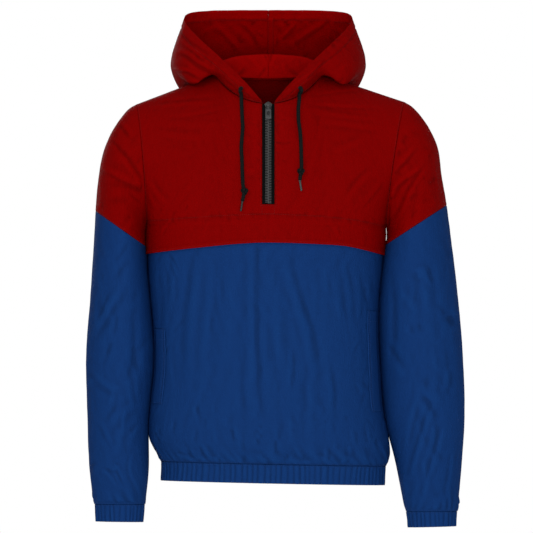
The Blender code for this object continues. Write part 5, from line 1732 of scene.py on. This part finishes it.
@dataclass
class Sleeve:
    """One sleeve: red upper part, blue lower part and an elastic cuff."""

    side: Side
    columns: int = 116
    wall: float = 0.8
    colour_row: float = 5.0
    cuff_row: float = 12.0
    sleeve_gap: float = 0.1

    def _grid(self, places: np.ndarray, columns: int, sink: float = 0.0) -> np.ndarray:
        """Lay out the sleeve's points.

        Args:
            places: Places along the sleeve, counted in its sections.
            columns: Points round it, from its outer side over the front.
            sink: How far inside the outer form.

        Returns:
            The grid of points.
        """
        sizes = smooth(range(14), np.array([row[1:] for row in SLEEVES[self.side.value]], float),
                       places)
        outer_x, outer_z, inner_x, inner_z, ahead, behind = (sizes[:, k, None] for k in range(6))
        angle = np.linspace(0.0, 2 * pi, columns + 1)[None, :-1]
        share = (1.0 - np.cos(angle)) / 2
        swell = np.sin(angle)
        start = np.maximum(0.0, 1.0 - 0.4 * places)[:, None]
        x = mix(outer_x - sink, inner_x + sink, share) - FORM.armhole_bow * start * np.abs(swell)
        x = x + self.sleeve_gap * np.maximum(0.0, 1.0 - places)[:, None]
        y = mix(FORM.neck_centre_y * start, 0.0, share)
        y = y - swell * (np.where(swell > 0, ahead, behind) - sink)
        return stack(self.side.value * x, y, mix(outer_z, inner_z, share))

    def _panel(self, name: str, first: float, last: float, rows: int, gaps: tuple) -> ClothPanel:
        """Make a stretch of the sleeve, with room for the seams at its ends."""
        spots = self._grid(np.linspace(first, last, rows), self.columns)
        spots[0, :, 2] -= gaps[0]
        spots[-1, :, 2] += gaps[1]
        return ClothPanel(f"anorak_{name}_{self.side.word}", spots, closed=True,
                          flip=self.side is Side.RIGHT)

    def _calm(self, panel: ClothPanel) -> None:
        """Keep the side that faces the body nearly flat, so that the two stay clear."""
        inwards = -panel.normals[..., 0] * self.side.value
        panel.rise *= 1.0 - 0.85 * ramp(inwards, 0.55, 0.95) * (panel.rise > 0)

    def build(self) -> None:
        """Make the three parts of the sleeve."""
        seed = 100 + 20 * self.side.value
        self._upper(seed)
        self._lower(seed + 5)
        self._cuff(seed + 10)

    def _upper(self, seed: int) -> None:
        """Make the red upper part."""
        panel = self._panel("sleeve_upper", 0.0, self.colour_row, 54, (0.0, 0.3))
        panel.crumple(seed, 16, 34, 0.36, creased=0.4)
        panel.crumple(seed + 1, 8, 15, 0.22, creased=0.6)
        panel.fold(SLEEVE_FOLDS[self.side.value], 0.62)
        left, right = sorted((self.side.value * 205, self.side.value * 290))
        panel.fold(scatter(seed + 2, 14, (left, right, -60, -250), (18, 44), (self.side.value * -35, 30),
                           (0.5, 1.3), (3.5, 7)))
        panel.fold(scatter(seed + 3, 26, (left, right, -60, -250), (20, 70),
                           (self.side.value * 30, 40), (0.7, 2.2), (4, 9), Facing.BACK))
        panel.pucker(panel.from_top, panel.from_start, seed + 4, 0.6, 7.0, 9.0)
        panel.hold(top=7.0, bottom=5.0)
        self._calm(panel)
        word = self.side.word
        panel.sew(RED, RED_INSIDE_SHADED, self.wall, "red_nylon", f"sleeve_upper_{word}",
                  rests_on=("anorak_front_yoke", "anorak_back_yoke"))
        THREADS.run("red", panel.parallel("bottom", 2.2))

    def _lower(self, seed: int) -> None:
        """Make the blue lower part, gathered into the cuff."""
        panel = self._panel("sleeve_lower", self.colour_row, self.cuff_row, 156, (0.3, 0.2))
        panel.crumple(seed, 15, 52, 0.4, creased=0.4)
        panel.crumple(seed + 1, 7.5, 22, 0.24, creased=0.6)
        panel.fold(SLEEVE_FOLDS[self.side.value], 0.62)
        left, right = sorted((self.side.value * 205, self.side.value * 310))
        panel.fold(scatter(seed + 2, 34, (left, right, -270, -690), (24, 80),
                           (self.side.value * 14, 22), (0.4, 1.3), (3.5, 8)))
        panel.fold(scatter(seed + 3, 60, (left, right, -270, -690), (24, 90),
                           (self.side.value * -14, 30), (0.6, 2.0), (4, 9), Facing.BACK))
        gathers = Gathers(seed + 4, (8, 19), (18, 70), (0.8, 2.5), lean=0.35)
        panel.rise += gathers.rise(panel.from_start, panel.from_bottom, panel.from_start.max())
        panel.hold(top=5.0, bottom=4.0)
        self._calm(panel)
        word = self.side.word
        panel.sew(BLUE, BLUE_INSIDE_SHADED, self.wall, "blue_nylon", f"sleeve_lower_{word}",
                  rests_on=(f"anorak_sleeve_upper_{word}",), gathered=1.05)
        THREADS.run("blue", panel.parallel("top", 2.2))
        THREADS.run("blue", panel.parallel("bottom", 2.2))

    def _cuff(self, seed: int) -> None:
        """Make the elastic cuff."""
        places = np.linspace(self.cuff_row, 13.0, 13)
        spots = self._grid(places, 190, sink=0.8)
        spots[0, :, 2] -= 0.2
        panel = ClothPanel(f"anorak_cuff_{self.side.word}", spots, closed=True,
                           flip=self.side is Side.RIGHT)
        panel.rise += Ruching(seed, pitch=(6.0, 11.5)).rise(panel)
        panel.rise *= mix(0.55, 1.0, ramp(panel.from_top, 0.0, 6.0))
        panel.rise *= mix(0.75, 1.0, ramp(panel.from_bottom, 0.0, 5.0))
        word = self.side.word
        panel.sew(BLUE, BLUE_INSIDE_SHADED, 1.3, "blue_nylon", f"cuff_{word}", held="gathered",
                  rests_on=(f"anorak_sleeve_lower_{word}",), gathered=1.3)
        THREADS.run("blue", panel.parallel("top", 1.5))


# ---------------------------------------------------------------- hood

@dataclass
class Hood:
    """Lowered hood: two halves, the cord channel along the face edge and the seam's tape."""

    columns: int = 132
    rows: int = 92
    wall: float = 0.8
    lift: float = 1.0
    channel: float = 19.0
    # place round the neck in degrees; then roll, pouch, reach and face edge
    sections: tuple = (
        (6.8, (10.7, -88.4, -29.3), (10.9, -88.9, -28.0), (11.1, -89.2, -26.7), (11.3, -89.4, -25.4)),
        (24, (37, -86, -17), (38, -88, -10), (38, -88, -3), (37, -86, 4)),
        (42, (62, -74, -3), (66, -78, 8), (66, -78, 19), (63, -74, 30)),
        (60, (83, -49, 13), (93, -56, 25), (96, -57, 38), (91, -51, 57)),
        (78, (102, -23, 22), (126, -34, 3), (141, -30, 36), (121, -22, 85)),
        (97, (108, 13, 27), (140, 16, 10), (161, 18, 38), (140, 16, 109)),
        (115, (98, 44, 34), (139, 68, -14), (160, 76, 36), (133, 56, 123)),
        (142, (64, 64, 47), (96, 110, -42), (120, 142, 28), (96, 92, 128)),
        (163, (32, 71, 51), (50, 127, -54), (60, 169, 26), (48, 105, 129)),
        (180, (0, 73, 52), (0, 132, -58), (0, 178, 26), (0, 108, 129)),
    )
    folds: tuple = (
        Fold(((-166, 52), (-142, 58), (-112, 38), (-70, 14)), 2.1, 3.9, lee=0.8, keen=0.2,
             facing=Facing.ALL),
        Fold(((-156, 86), (-128, 64), (-93, 42)), 1.7, 3.6, lee=-0.8, keen=0.2, facing=Facing.ALL),
        Fold(((-162, 30), (-137, 27), (-108, 14)), 1.6, 3.3, lee=0.8, keen=0.3, facing=Facing.ALL),
        Fold(((-106, 15), (-79, -3), (-48, -12)), -2.0, 2.8, lee=0.7),
        Fold(((-94, 11), (-86, 0), (-78, -8)), 1.2, 1.9, lee=0.7, keen=0.4),
        Fold(((-78, 10), (-62, -6), (-47, -20)), 1.2, 2.2, lee=-0.7, keen=0.4),
        Fold(((-150, 4), (-124, 8), (-98, -2)), 1.0, 2.8, lee=0.6),
        Fold(((55, 8), (78, 28), (100, 56)), 1.4, 2.8, lee=0.8, keen=0.2),
        Fold(((30, -20), (52, -4), (74, 22)), 0.8, 2.5, lee=-0.7, keen=0.2),
        Fold(((96, 60), (112, 80), (130, 96)), 1.2, 3.3, lee=0.6),
    )
    far_folds: tuple = placed(
        Facing.BACK,
        Fold(((-100, 118), (-70, 92), (-40, 60)), 1.7, 4.4, lee=0.7, keen=0.2),
        Fold(((-60, 112), (-34, 96), (-12, 62)), -1.4, 3.9, lee=0.7),
        Fold(((100, 116), (66, 96), (28, 70)), 1.6, 4.4, lee=-0.7, keen=0.2),
        Fold(((52, 112), (34, 90), (14, 74)), -1.3, 3.3, lee=0.7),
        Fold(((-120, 60), (-70, 20), (-20, 4)), 2.0, 8.8, lee=0.4),
        Fold(((116, 70), (76, 24), (22, 8)), 2.0, 8.2, lee=-0.4),
        Fold(((-90, -10), (-60, 10), (-30, 40)), -1.4, 5.0, lee=0.6),
        Fold(((84, -16), (62, 8), (26, 36)), -1.6, 5.5, lee=-0.6),
    )

    def points(self, side: int, around: np.ndarray, along: np.ndarray) -> np.ndarray:
        """Give a grid of points on the outer face.

        Args:
            side: -1 or 1.
            around: From the front (0) to the centre back (1).
            along: From the neck seam (0) over roll and pouch to the face edge (1).

        Returns:
            Points, along by around.
        """
        knots = np.linspace(0.0, 1.0, len(self.sections))
        knots = np.append(knots, 2.0 - knots[-2])
        neck = FORM.neck_point(np.radians([row[0] for row in self.sections])) + (0, 0, self.lift)
        lines = [neck] + [np.array([row[k] for row in self.sections], float) for k in range(1, 5)]
        section = [smooth(knots, np.concatenate([line, line[-2:-1] * (-1, 1, 1)]), around)
                   for line in lines]
        spots = smooth([0.0, 0.2, 0.48, 0.7, 1.0], section, along)
        spots[..., 0] = side * np.maximum(spots[..., 0], 0.01)
        return spots

    def build(self) -> None:
        """Make both halves, the tape and the seam lines."""
        around = np.linspace(0.0, 1.0, self.columns)
        along = np.linspace(0.0, 1.0, self.rows)
        for side in Side:
            panel = ClothPanel(f"anorak_hood_{side.word}", self.points(side.value, around, along),
                               flip=side is Side.RIGHT)
            self._shape(panel, 120 + 10 * side.value)
            panel.sew(RED, HOOD_INSIDE_PAINTED_LIGHT, self.wall, "red_nylon", f"hood_{side.word}", held="draped",
                      rests_on=("anorak_front_yoke", "anorak_back_yoke"))
            THREADS.run("red", panel.parallel("bottom", self.channel))
            inside = panel.parallel("bottom", self.channel, lift=-self.wall - 0.15,
                                    first=self.columns // 2)
            THREADS.run("red", (inside[0], -inside[1]))
            THREADS.run("red", panel.parallel("top", 2.4))
        self._tape(panel)

    def _shape(self, panel: ClothPanel, seed: int) -> None:
        """Fold and crumple one half and press the channel's stitch line in."""
        panel.crumple(seed, 17, 30, 0.5, creased=0.4)
        panel.crumple(seed + 1, 8, 13, 0.22, creased=0.6)
        panel.fold(list(self.folds) + list(self.far_folds))
        panel.fold(scatter(seed + 2, 46, (-130, 130, 120, -30), (14, 46), (0, 70), (0.5, 1.4), (2, 4.2),
                           Facing.BACK))
        panel.fold(scatter(seed + 3, 16, (-160, -60, 90, -20), (12, 36), (60, 35), (0.4, 1.2), (3, 5)))
        panel.fold(scatter(seed + 4, 12, (20, 130, 90, -28), (10, 30), (-50, 30), (0.3, 0.9), (3, 5)))
        off_line = np.abs(panel.from_bottom - self.channel)
        panel.pucker(off_line, panel.from_start, seed + 5, 0.7, 6.0, 8.0)
        panel.pucker(panel.from_bottom, panel.from_start, seed + 6, 0.6, 7.0, 10.0)
        panel.rise += 0.6 * (1.0 - ramp(panel.from_bottom, self.channel - 3, self.channel))
        panel.press(off_line, 0.9, 1.6)
        panel.pucker(panel.from_end, panel.from_top, seed + 7, 0.6, 7.0, 9.0)
        panel.hold(top=6.0, start=8.0, end=4.0)
        for spot, _ in EYELETS.values():
            panel.rise *= ramp(np.linalg.norm(panel.spots - spot, axis=2), 5.0, 13.0)

    def _tape(self, panel: ClothPanel) -> None:
        """Lay the tape over the centre seam, on the hood's inner side."""
        rows = range(int(0.58 * self.rows), int(0.97 * self.rows))
        surface = panel.surface() - panel.normals * (self.wall + 0.2 + 0.7)
        across = np.array([-0.4, 1.0, 3.0, 5.0, 7.0, 8.9])
        spots = np.array([[np.array([x, *(np.interp(x, surface[i, ::-1, 0], surface[i, ::-1, k])
                                          for k in (1, 2))]) for x in across] for i in rows[::-1]])
        tape = ClothPanel("anorak_hood_seam_tape", spots)
        tape.pucker(tape.from_start, tape.from_top, 141, 0.3, 7.0, 20.0)
        tape.sew(HOOD_INSIDE_PAINTED_LIGHT, RED_INSIDE_SHADED, 0.7, "red_nylon", "hood_seam_tape", held="stretched",
                 rests_on=("anorak_hood_right",), gathered=1.1)
        THREADS.run("red", tape.parallel("start", 1.2))
        THREADS.run("red", tape.parallel("end", 1.2))


# ---------------------------------------------------------------- hard fittings

# middle of each cord eyelet on the hood's front and the way it faces
EYELETS = {-1: (np.array([-45.27, -86.39, -4.96]), Vector((-0.337, -0.931, -0.144))),
           1: (np.array([52.88, -83.0, -4.02]), Vector((0.513, -0.794, -0.325)))}
BLACK_CORD = BraidedCord()
ZIP_TAPE = ZipTapeWeave()
TEETH = HardFinish("Grey moulded zip teeth", "#343434", 0.6)
GUNMETAL = HardFinish("Gunmetal painted zinc", "#353535", 0.45, metallic=0.6)
DARK_METAL = HardFinish("Dark lacquered brass eyelet", "#1C1D1D", 0.45, metallic=0.7)
TIPS = {-1: HardFinish("Black cord tip", "#0C0E0E", 0.45),
        1: HardFinish("Grey cord tip", "#303535", 0.45)}


def turned(name: str, profile: list, place: np.ndarray, axis: Vector,
           sides: int = 32) -> bpy.types.Object:
    """Turn a closed or end-closed profile round an axis.

    Args:
        name: Name of the piece.
        profile: (radius, height) pairs; it starts and ends on the axis, or closes on itself.
        place: Where the axis starts.
        axis: Way of the axis.
        sides: Flat sides round it.

    Returns:
        The object.
    """
    turn = np.array(Vector(axis).to_track_quat("Z", "Y").to_matrix())
    ring = 2 * pi * np.arange(sides) / sides
    on_axis = profile[0][0] == 0.0
    body = profile[1:-1] if on_axis else profile
    points = [[r * cos(a), r * sin(a), h] for r, h in body for a in ring]
    count = len(body)
    faces = tube_faces(count, sides, not on_axis)
    if on_axis:
        points += [[0, 0, profile[0][1]], [0, 0, profile[-1][1]]]
        last = (count - 1) * sides
        faces += [(count * sides, (k + 1) % sides, k) for k in range(sides)]
        faces += [(count * sides + 1, last + k, last + (k + 1) % sides) for k in range(sides)]
    return link_mesh(name, np.array(points) @ turn.T + np.asarray(place), faces)


def extruded(name: str, outline: list, start: float, end: float,
             along_x: bool = False) -> bpy.types.Object:
    """Make a solid from an outline.

    Args:
        name: Name of the object.
        outline: Points (x, z), or (y, z) if the solid runs along x.
        start: Where it starts, along y or x.
        end: Where it ends.
        along_x: Whether it runs along x.

    Returns:
        The object, flat shaded, with normals outwards.
    """
    count = len(outline)
    points = [(at, u, v) if along_x else (u, at, v) for at in (start, end) for u, v in outline]
    faces = [tuple(range(count)), tuple(reversed(range(count, 2 * count)))]
    faces += [(k, count + k, count + (k + 1) % count, (k + 1) % count) for k in range(count)]
    item = link_mesh(name, points, faces)
    face_outwards(item)
    item.data.shade_flat()
    return item


def combine(item: bpy.types.Object, other: bpy.types.Object, operation: str) -> None:
    """Join another solid to an object or cut it away, and remove the other."""
    cut = item.modifiers.new(operation, "BOOLEAN")
    cut.operation = operation
    cut.solver = "EXACT"
    cut.object = other
    settle(item)
    bpy.data.objects.remove(other, do_unlink=True)


def ease(item: bpy.types.Object, width: float) -> None:
    """Round every sharp edge of a solid by a width in millimetres."""
    bevel = item.modifiers.new("Eased edges", "BEVEL")
    bevel.width = width * MM
    bevel.segments = 3
    bevel.limit_method = "ANGLE"
    bevel.angle_limit = radians(35)
    settle(item)
    item.data.shade_smooth()
    item.data.set_sharp_from_angle(angle=radians(50))


@dataclass
class FrontZip:
    """Closed half zip: two tapes behind the slot, moulded teeth, slider and pull tab."""

    tape_outer: float = 14.0
    tape_depth: float = 1.9
    teeth_depth: float = 2.0
    pitch: float = 2.75
    teeth_top_z: float = -32.5
    shank_size: tuple = (4.2, 1.9, 1.3)
    head_size: tuple = (1.7, 1.9, 2.1)
    pin_z: float = -36.6
    pin_stand_off: float = 2.4
    slider_plate: float = 2.6
    slider_span: tuple = (-26.5, -36.0)
    slider_half: float = 6.5
    pull_wall: float = 1.5
    pull_span: tuple = (-40.0, -56.0)
    pull_half: float = 5.0
    pull_slot: tuple = (4.2, 6.0, -46.0)

    def line(self, z: np.ndarray, depth: float, x: np.ndarray) -> np.ndarray:
        """Give points on the zip, set back from the yoke's face by a depth."""
        down = np.maximum((z - FORM.neck_front_z) / (FORM.chest_z - FORM.neck_front_z), 0.0)
        return stack(x, FORM.centre_edge(down, True)[..., 1] + depth, z)

    def build(self) -> None:
        """Make tapes, teeth, slider and pull."""
        z = np.linspace(FORM.neck_front_z, FORM.slot_end_z - 5.0, 70)[:, None]
        for side in Side:
            x = np.sort(side.value * np.linspace(0.15, self.tape_outer, 9))[None]
            depth = self.tape_depth + ramp(np.abs(x), 10.5, 14.0)
            tape = ClothPanel(f"anorak_zip_tape_{side.word}", self.line(z, depth, x))
            tape.sew(ZIP_TAPE, ZIP_TAPE, 0.9, "zip_tape", f"zip_tape_{side.word}",
                     held="stretched", rests_on=("anorak_front_yoke",))
        self._teeth()
        pin = self._pin_frame()
        self._slider(pin)
        self._pull(pin)

    def _tooth_tree(self) -> tuple:
        """Build the node tree that sets both rows of teeth.

        Returns:
            The tree and its input identifiers by name.
        """
        tree, given, sockets = new_geometry_tree("Zip teeth", "Teeth", {
            "Base": "Geometry", "Count": "Int", "Start": "Vector", "Step": "Vector",
            "Lean": "Float"})
        tooth = add(tree, "GeometryNodeJoinGeometry")
        for size, x in ((self.shank_size, -3.1), (self.head_size, -0.5)):
            block = add(tree, "GeometryNodeMeshCube", {"Size": [length * MM for length in size]})
            part = add(tree, "GeometryNodeTransform", {"Translation": (x * MM, 0, 0)},
                       {"Geometry": block.outputs["Mesh"]})
            tree.links.new(part.outputs[0], tooth.inputs[0])
        half = add(tree, "ShaderNodeVectorMath", {"operation": "MULTIPLY_ADD", 1: (0.5, 0.5, 0.5)},
                   {0: given["Step"], 2: given["Start"]})
        both = add(tree, "GeometryNodeJoinGeometry")
        for start, turn in ((given["Start"], 0.0), (half.outputs[0], pi)):
            row = add(tree, "GeometryNodeMeshLine", {}, {
                "Count": given["Count"], "Start Location": start, "Offset": given["Step"]})
            facing = add(tree, "ShaderNodeCombineXYZ", {"Y": turn}, {"X": given["Lean"]})
            turned_row = add(tree, "GeometryNodeInstanceOnPoints", {}, {
                "Points": row.outputs[0], "Instance": tooth.outputs[0],
                "Rotation": facing.outputs[0]})
            tree.links.new(turned_row.outputs[0], both.inputs[0])
        real = add(tree, "GeometryNodeRealizeInstances", {}, {"Geometry": both.outputs[0]})
        moulded = add(tree, "GeometryNodeSetMaterial", {}, {"Geometry": real.outputs[0]})
        moulded.inputs["Material"].default_value = ROOM.material(TEETH)
        add(tree, "NodeGroupOutput", {}, {0: moulded.outputs[0]})
        return tree, sockets

    def _teeth(self) -> None:
        """Set both rows of teeth down the zip, half a step apart."""
        tree, sockets = self._tooth_tree()
        item = link_mesh("anorak_zip_teeth", [(0, 0, 0)], [])
        depth = self.tape_depth - 0.3 - self.teeth_depth / 2
        ends = self.line(np.array([self.teeth_top_z, FORM.slot_end_z + 1.6]), depth, 0.0)
        length = np.linalg.norm(ends[1] - ends[0])
        step = (ends[1] - ends[0]) / length * self.pitch
        count = int((length - self.pitch / 2) / self.pitch) + 1
        modifier = item.modifiers.new("Teeth", "NODES")
        modifier.node_group = tree
        modifier[sockets["Count"]] = count
        modifier[sockets["Start"]] = tuple(ends[0] * MM)
        modifier[sockets["Step"]] = tuple(step * MM)
        modifier[sockets["Lean"]] = float(np.arctan2(-step[1], -step[2]))
        settle(item)
        ease(item, 0.22)
        ROOM.hand_in(item, "zip_teeth", "zip_teeth")

    def _pin_frame(self) -> Matrix:
        """Give the place of the pull's pin, its Y axis straight into the zip."""
        above, below, here = self.line(self.pin_z + np.array([8.0, -16.0, 0.0]), 0.0, 0.0)
        lean = np.arctan2(above[1] - below[1], above[2] - below[2])
        stand_off = (self.teeth_depth + 2 * FORM.seam_gap + self.slider_plate
                     + self.pin_stand_off - self.tape_depth)
        place = Vector(here) - Vector((0.0, stand_off, 0.0))
        return Matrix.Translation(place * MM) @ Matrix.Rotation(-lean, 4, "X")

    def _finish(self, item: bpy.types.Object, pin: Matrix, body: str) -> None:
        """Paint a casting, put it in place and hand it in."""
        item.data.transform(pin)
        item.data.materials.append(ROOM.material(GUNMETAL))
        ROOM.hand_in(item, "zip_metal", item.name.removeprefix("anorak_"), body=body)

    def _slider(self, pin: Matrix) -> None:
        """Make the slider: a domed diamond with a bridge of two lugs round the pin."""
        top, bottom = (z - self.pin_z for z in self.slider_span)
        middle, wide, face = (top + bottom) / 2, self.slider_half, self.pin_stand_off
        right = [(0.0, top), (2.4, top - 1.0), (wide, middle + 0.6), (wide - 0.6, middle - 1.4),
                 (4.3, bottom), (0.0, bottom)]
        outline = right + [(-x, z) for x, z in right[::-1] if x]
        item = extruded("anorak_zip_slider", outline, face, face + self.slider_plate)
        crown = [(0.62 * x, middle + 0.66 * (z - middle)) for x, z in outline]
        combine(item, extruded("crown", crown, face - 0.5, face + 0.4), "UNION")
        lug = [(face + 0.6, 4.0), (-0.4, 2.8), (-1.2, 1.0), (-1.2, -0.6), (-0.4, -1.2), (0.6, -1.2),
               (face + 0.6, 0.8)]
        for sign in (-1, 1):
            combine(item, extruded("lug", lug, *sorted((sign * 2.6, sign * 3.7)), along_x=True),
                    "UNION")
        combine(item, extruded("pin", circle(0.8), -3.4, 3.4, along_x=True), "UNION")
        ease(item, 0.25)
        self._finish(item, pin, BODY)

    def _pull(self, pin: Matrix) -> None:
        """Make the pull: an eye round the pin, a short neck and a plate with a slot."""
        half = self.pull_wall / 2
        top, end = (z - self.pin_z for z in self.pull_span)
        wide = self.pull_half
        left = [(-2.2, -0.2), (-2.2, top + 1.2), (-wide + 0.7, top), (-wide, top - 0.9),
                (-wide, end + 1.2), (-wide + 0.4, end + 0.35), (-wide + 1.2, end)]
        item = extruded("anorak_zip_pull", left + [(-x, z) for x, z in left[::-1]], -half, half)
        combine(item, extruded("eye", circle(2.0), -2.2, 2.2, along_x=True), "UNION")
        combine(item, extruded("bore", circle(1.15), -4.4, 4.4, along_x=True), "DIFFERENCE")
        width, height, middle = self.pull_slot
        w, h, middle, r = width / 2, height / 2, middle - self.pin_z, 0.7
        hole = [(-w, middle + h - r), (-w, middle - h + r), (-w + r, middle - h),
                (w - r, middle - h), (w, middle - h + r), (w, middle + h - r),
                (w - r, middle + h), (-w + r, middle + h)]
        combine(item, extruded("slot", hole, -3.0, 3.0), "DIFFERENCE")
        ease(item, 0.3)
        self._finish(item, pin, "zip_pull")


# ---------------------------------------------------------------- drawcords

def braid(name: str, path: np.ndarray, diameter: float, beside: tuple,
          closed: bool = False) -> tuple:
    """Make a braided cord along a path.

    Args:
        name: Name of the piece.
        path: Points in millimetres.
        diameter: Thickness of the cord.
        beside: A direction that the path never runs along.
        closed: Whether the cord runs into its own start.

    Returns:
        The object and the points of its middle line in metres.
    """
    path = np.asarray(path, float)
    lengths = row_lengths(path[None])[0]
    rings = max(6, int(lengths[-1] / 0.55))
    at = np.linspace(0.0, lengths[-1], rings + 1)
    line = smooth(lengths, path, at)
    along = np.gradient(line, axis=0)
    if closed:
        line, at = line[:-1], at[:-1]
        along = np.roll(line, -1, axis=0) - np.roll(line, 1, axis=0)
    along /= np.linalg.norm(along, axis=1, keepdims=True)
    right = np.cross(along, beside)
    right /= np.linalg.norm(right, axis=1, keepdims=True)
    up = np.cross(right, along)
    sides = 32
    turn = (2 * pi * np.arange(sides) / sides)[None]
    phase = 2 * pi * at[:, None] * max(1, round(lengths[-1] / 6.0)) / lengths[-1]
    weave = np.sin(4 * turn + phase) * np.sin(4 * turn - phase)
    radius = diameter / 2 * (1.0 + 0.08 * weave)
    if not closed:
        edge = np.minimum(at, lengths[-1] - at)[:, None]
        radius = radius * np.sqrt(mix(0.35, 1.0, ramp(edge, 0.0, 0.9)))
    points = (line[:, None] + radius[..., None] * (right[:, None] * np.cos(turn)[..., None]
                                                   + up[:, None] * np.sin(turn)[..., None]))
    count = len(line)
    faces = tube_faces(count, sides, closed)
    if not closed:
        faces += [tuple(range(sides))[::-1], tuple(range((count - 1) * sides, count * sides))]
    item = link_mesh(name, points.reshape(-1, 3), faces)
    face_outwards(item)
    mesh = item.data
    # The fold attribute follows the strands. The cord's finish uses it to paint shade between them.
    fold = mesh.attributes.new("fold", "FLOAT", "POINT")
    fold.data.foreach_set("value", (0.5 + 0.5 * weave).astype(np.float32).ravel())
    corners = np.zeros(len(mesh.loops), np.int32)
    mesh.loops.foreach_get("vertex_index", corners)
    spots = np.stack([corners % sides * diameter * pi / sides, at[corners // sides]], axis=-1)
    mesh.uv_layers.new(name="cloth").uv.foreach_set("vector", (spots * MM).astype(np.float32).ravel())
    mesh.materials.append(ROOM.material(BLACK_CORD))
    return item, line * MM


@dataclass
class DrawCord:
    """One free end of the hood's drawcord, with its eyelet, knot, tail and moulded tip."""

    side: Side
    diameter: float = 6.2
    knot_size: float = 12.5
    # places (x, z) from the eyelet down, and how far the cord stands off the cloth
    routes: ClassVar[dict] = {
        -1: ((-45.3, -15, 7.0), (-44.9, -27, 2.2), (-44.2, -42, 0.8), (-43.5, -57, 0.6),
             (-42.7, -69, 0.6), (-43.8, -85, 0.6), (-45.0, -101, 0.6), (-44.8, -113, 0.6),
             (-44.0, -125, 0.6), (-43.6, -140, 0.6), (-43.0, -154, 1.0), (-42.0, -168.5, 2.6)),
        1: ((52.6, -14, 7.0), (51.6, -26, 2.2), (50.4, -38, 0.8), (50.3, -50, 0.6),
            (51.0, -62, 0.6), (53.0, -76, 0.6), (54.2, -90, 0.6), (54.8, -104, 0.6),
            (55.1, -118, 1.0), (55.5, -135.5, 2.6)),
    }
    # middle of the knot, end of the tail and end of the tip
    ends: ClassVar[dict] = {
        -1: ((-39.8, -177.5), (-43.3, -194), (-46.0, -211)),
        1: ((54.6, -144.5), (52.6, -159), (55.4, -177))}

    def _place(self, cloth: BVHTree, x: float, z: float, off: float, thickness: float) -> Vector:
        """Give the middle of something that hangs in front of the cloth."""
        nearest = FORM.front_y(x, z)
        for beside in (-0.4, 0.0, 0.4):
            hit = cloth.ray_cast(Vector((x + beside * thickness, -1000, z)), Vector((0, 1, 0)))[0]
            nearest = min(nearest, hit.y) if hit and abs(hit.y - nearest) < 12 else nearest
        return Vector((x, nearest - thickness / 2 - off, z))

    def build(self, yoke: ClothPanel) -> None:
        """Make everything on this side.

        Args:
            yoke: The front yoke that the cord hangs against.
        """
        word = self.side.word
        spot, outward = EYELETS[self.side.value]
        outward = outward.normalized()
        spot = Vector(spot)
        cloth = BVHTree.FromPolygons([Vector(p) for p in yoke.surface().reshape(-1, 3)],
                                     yoke.quads())
        profile = [(2.5, 0.0), (3.6, 0.0), (3.6, 0.5), (3.45, 0.95), (3.1, 1.25), (2.8, 1.2),
                   (2.55, 0.9)]
        ring = turned(f"anorak_eyelet_{word}", profile, spot + outward * 0.3, outward)
        ring.data.materials.append(ROOM.material(DARK_METAL))
        ROOM.hand_in(ring, "eyelet_metal", f"eyelet_{word}")

        start = spot + outward * 1.0
        straight = start + outward * 2.4
        turn_down = straight + outward * 1.8 + Vector((0.0, 0.0, -3.6))
        route = [start, straight, turn_down]
        route += [self._place(cloth, x, z, off, self.diameter)
                  for x, z, off in self.routes[self.side.value]]
        knot_at, tail_at, tip_at = self.ends[self.side.value]
        middle = self._place(cloth, *knot_at, 0.6, 0.85 * self.knot_size)
        route += [middle + Vector((0.0, 0.0, 1.5))]
        cord, path = braid(f"anorak_cord_{word}", route, self.diameter, (1.0, 0.0, 0.0))
        ROOM.hand_in(cord, "black_cord", f"cord_{word}")

        knot = self._knot(middle)
        tail_end = self._place(cloth, *tail_at, 0.8, self.diameter)
        way = (tail_end - middle).normalized()
        tail_start = middle + way * (0.15 * self.knot_size)
        tail, _ = braid(f"anorak_tail_{word}", [tail_start, (tail_start + tail_end) / 2, tail_end],
                        self.diameter, (1.0, 0.0, 0.0))
        ROOM.hand_in(tail, "black_cord", f"tail_{word}")

        tip_end = self._place(cloth, *tip_at, 1.0, 3.5)
        reach = (tip_end - tail_end).length
        profile = [(0, 0), (1.9, 0), (2.1, 0.4), (2.1, 1.6), (1.75, 2.2), (1.75, reach - 1.2),
                   (1.5, reach - 0.4), (0.9, reach), (0, reach)]
        tip = turned(f"anorak_tip_{word}", profile, tail_end - way * 0.2, tip_end - tail_end)
        tip.data.materials.append(ROOM.material(TIPS[self.side.value]))
        ROOM.hand_in(tip, "cord_tip", f"tip_{word}")

    def _knot(self, middle: Vector) -> bpy.types.Object:
        """Make the overhand knot as one closed turn of cord through itself."""
        t = np.linspace(0.0, 2 * pi, 61)
        size = 1.4
        path = stack(size * (np.sin(t) + 2 * np.sin(2 * t)), -2.4 * np.sin(3 * t),
                     size * (np.cos(t) - 2 * np.cos(2 * t)))
        word = self.side.word
        knot, _ = braid(f"anorak_knot_{word}", path + np.array(middle), 5.2, (0.0, 1.0, 0.0), True)
        return ROOM.hand_in(knot, "black_cord", f"knot_{word}")


# ---------------------------------------------------------------- the whole garment

# Painted highlight: each thread colour is a shade paler than its cloth.
RED_THREAD = SewingThread("Red polyester thread", "#8E1010")
BLUE_THREAD = SewingThread("Blue polyester thread", "#1B4080")


def main() -> None:
    """Build the garment piece by piece, then the studio."""
    logging.basicConfig(level=logging.INFO, format="%(name)s: %(message)s")
    studio = Studio()
    studio.build_camera()
    yoke = FrontYoke().build()
    for side in Side:
        DrawCord(side).build(yoke)
    Hood().build()
    FrontZip().build()
    BackYoke().build()
    front, _ = BodyPanels().build()
    PocketWelts().build(front)
    HemBand().build()
    for side in Side:
        Sleeve(side).build()
    THREADS.sew("red", RED_THREAD, "red_nylon")
    THREADS.sew("blue", BLUE_THREAD, "blue_nylon")
    studio.build_room()


if __name__ == "__main__":
    main()
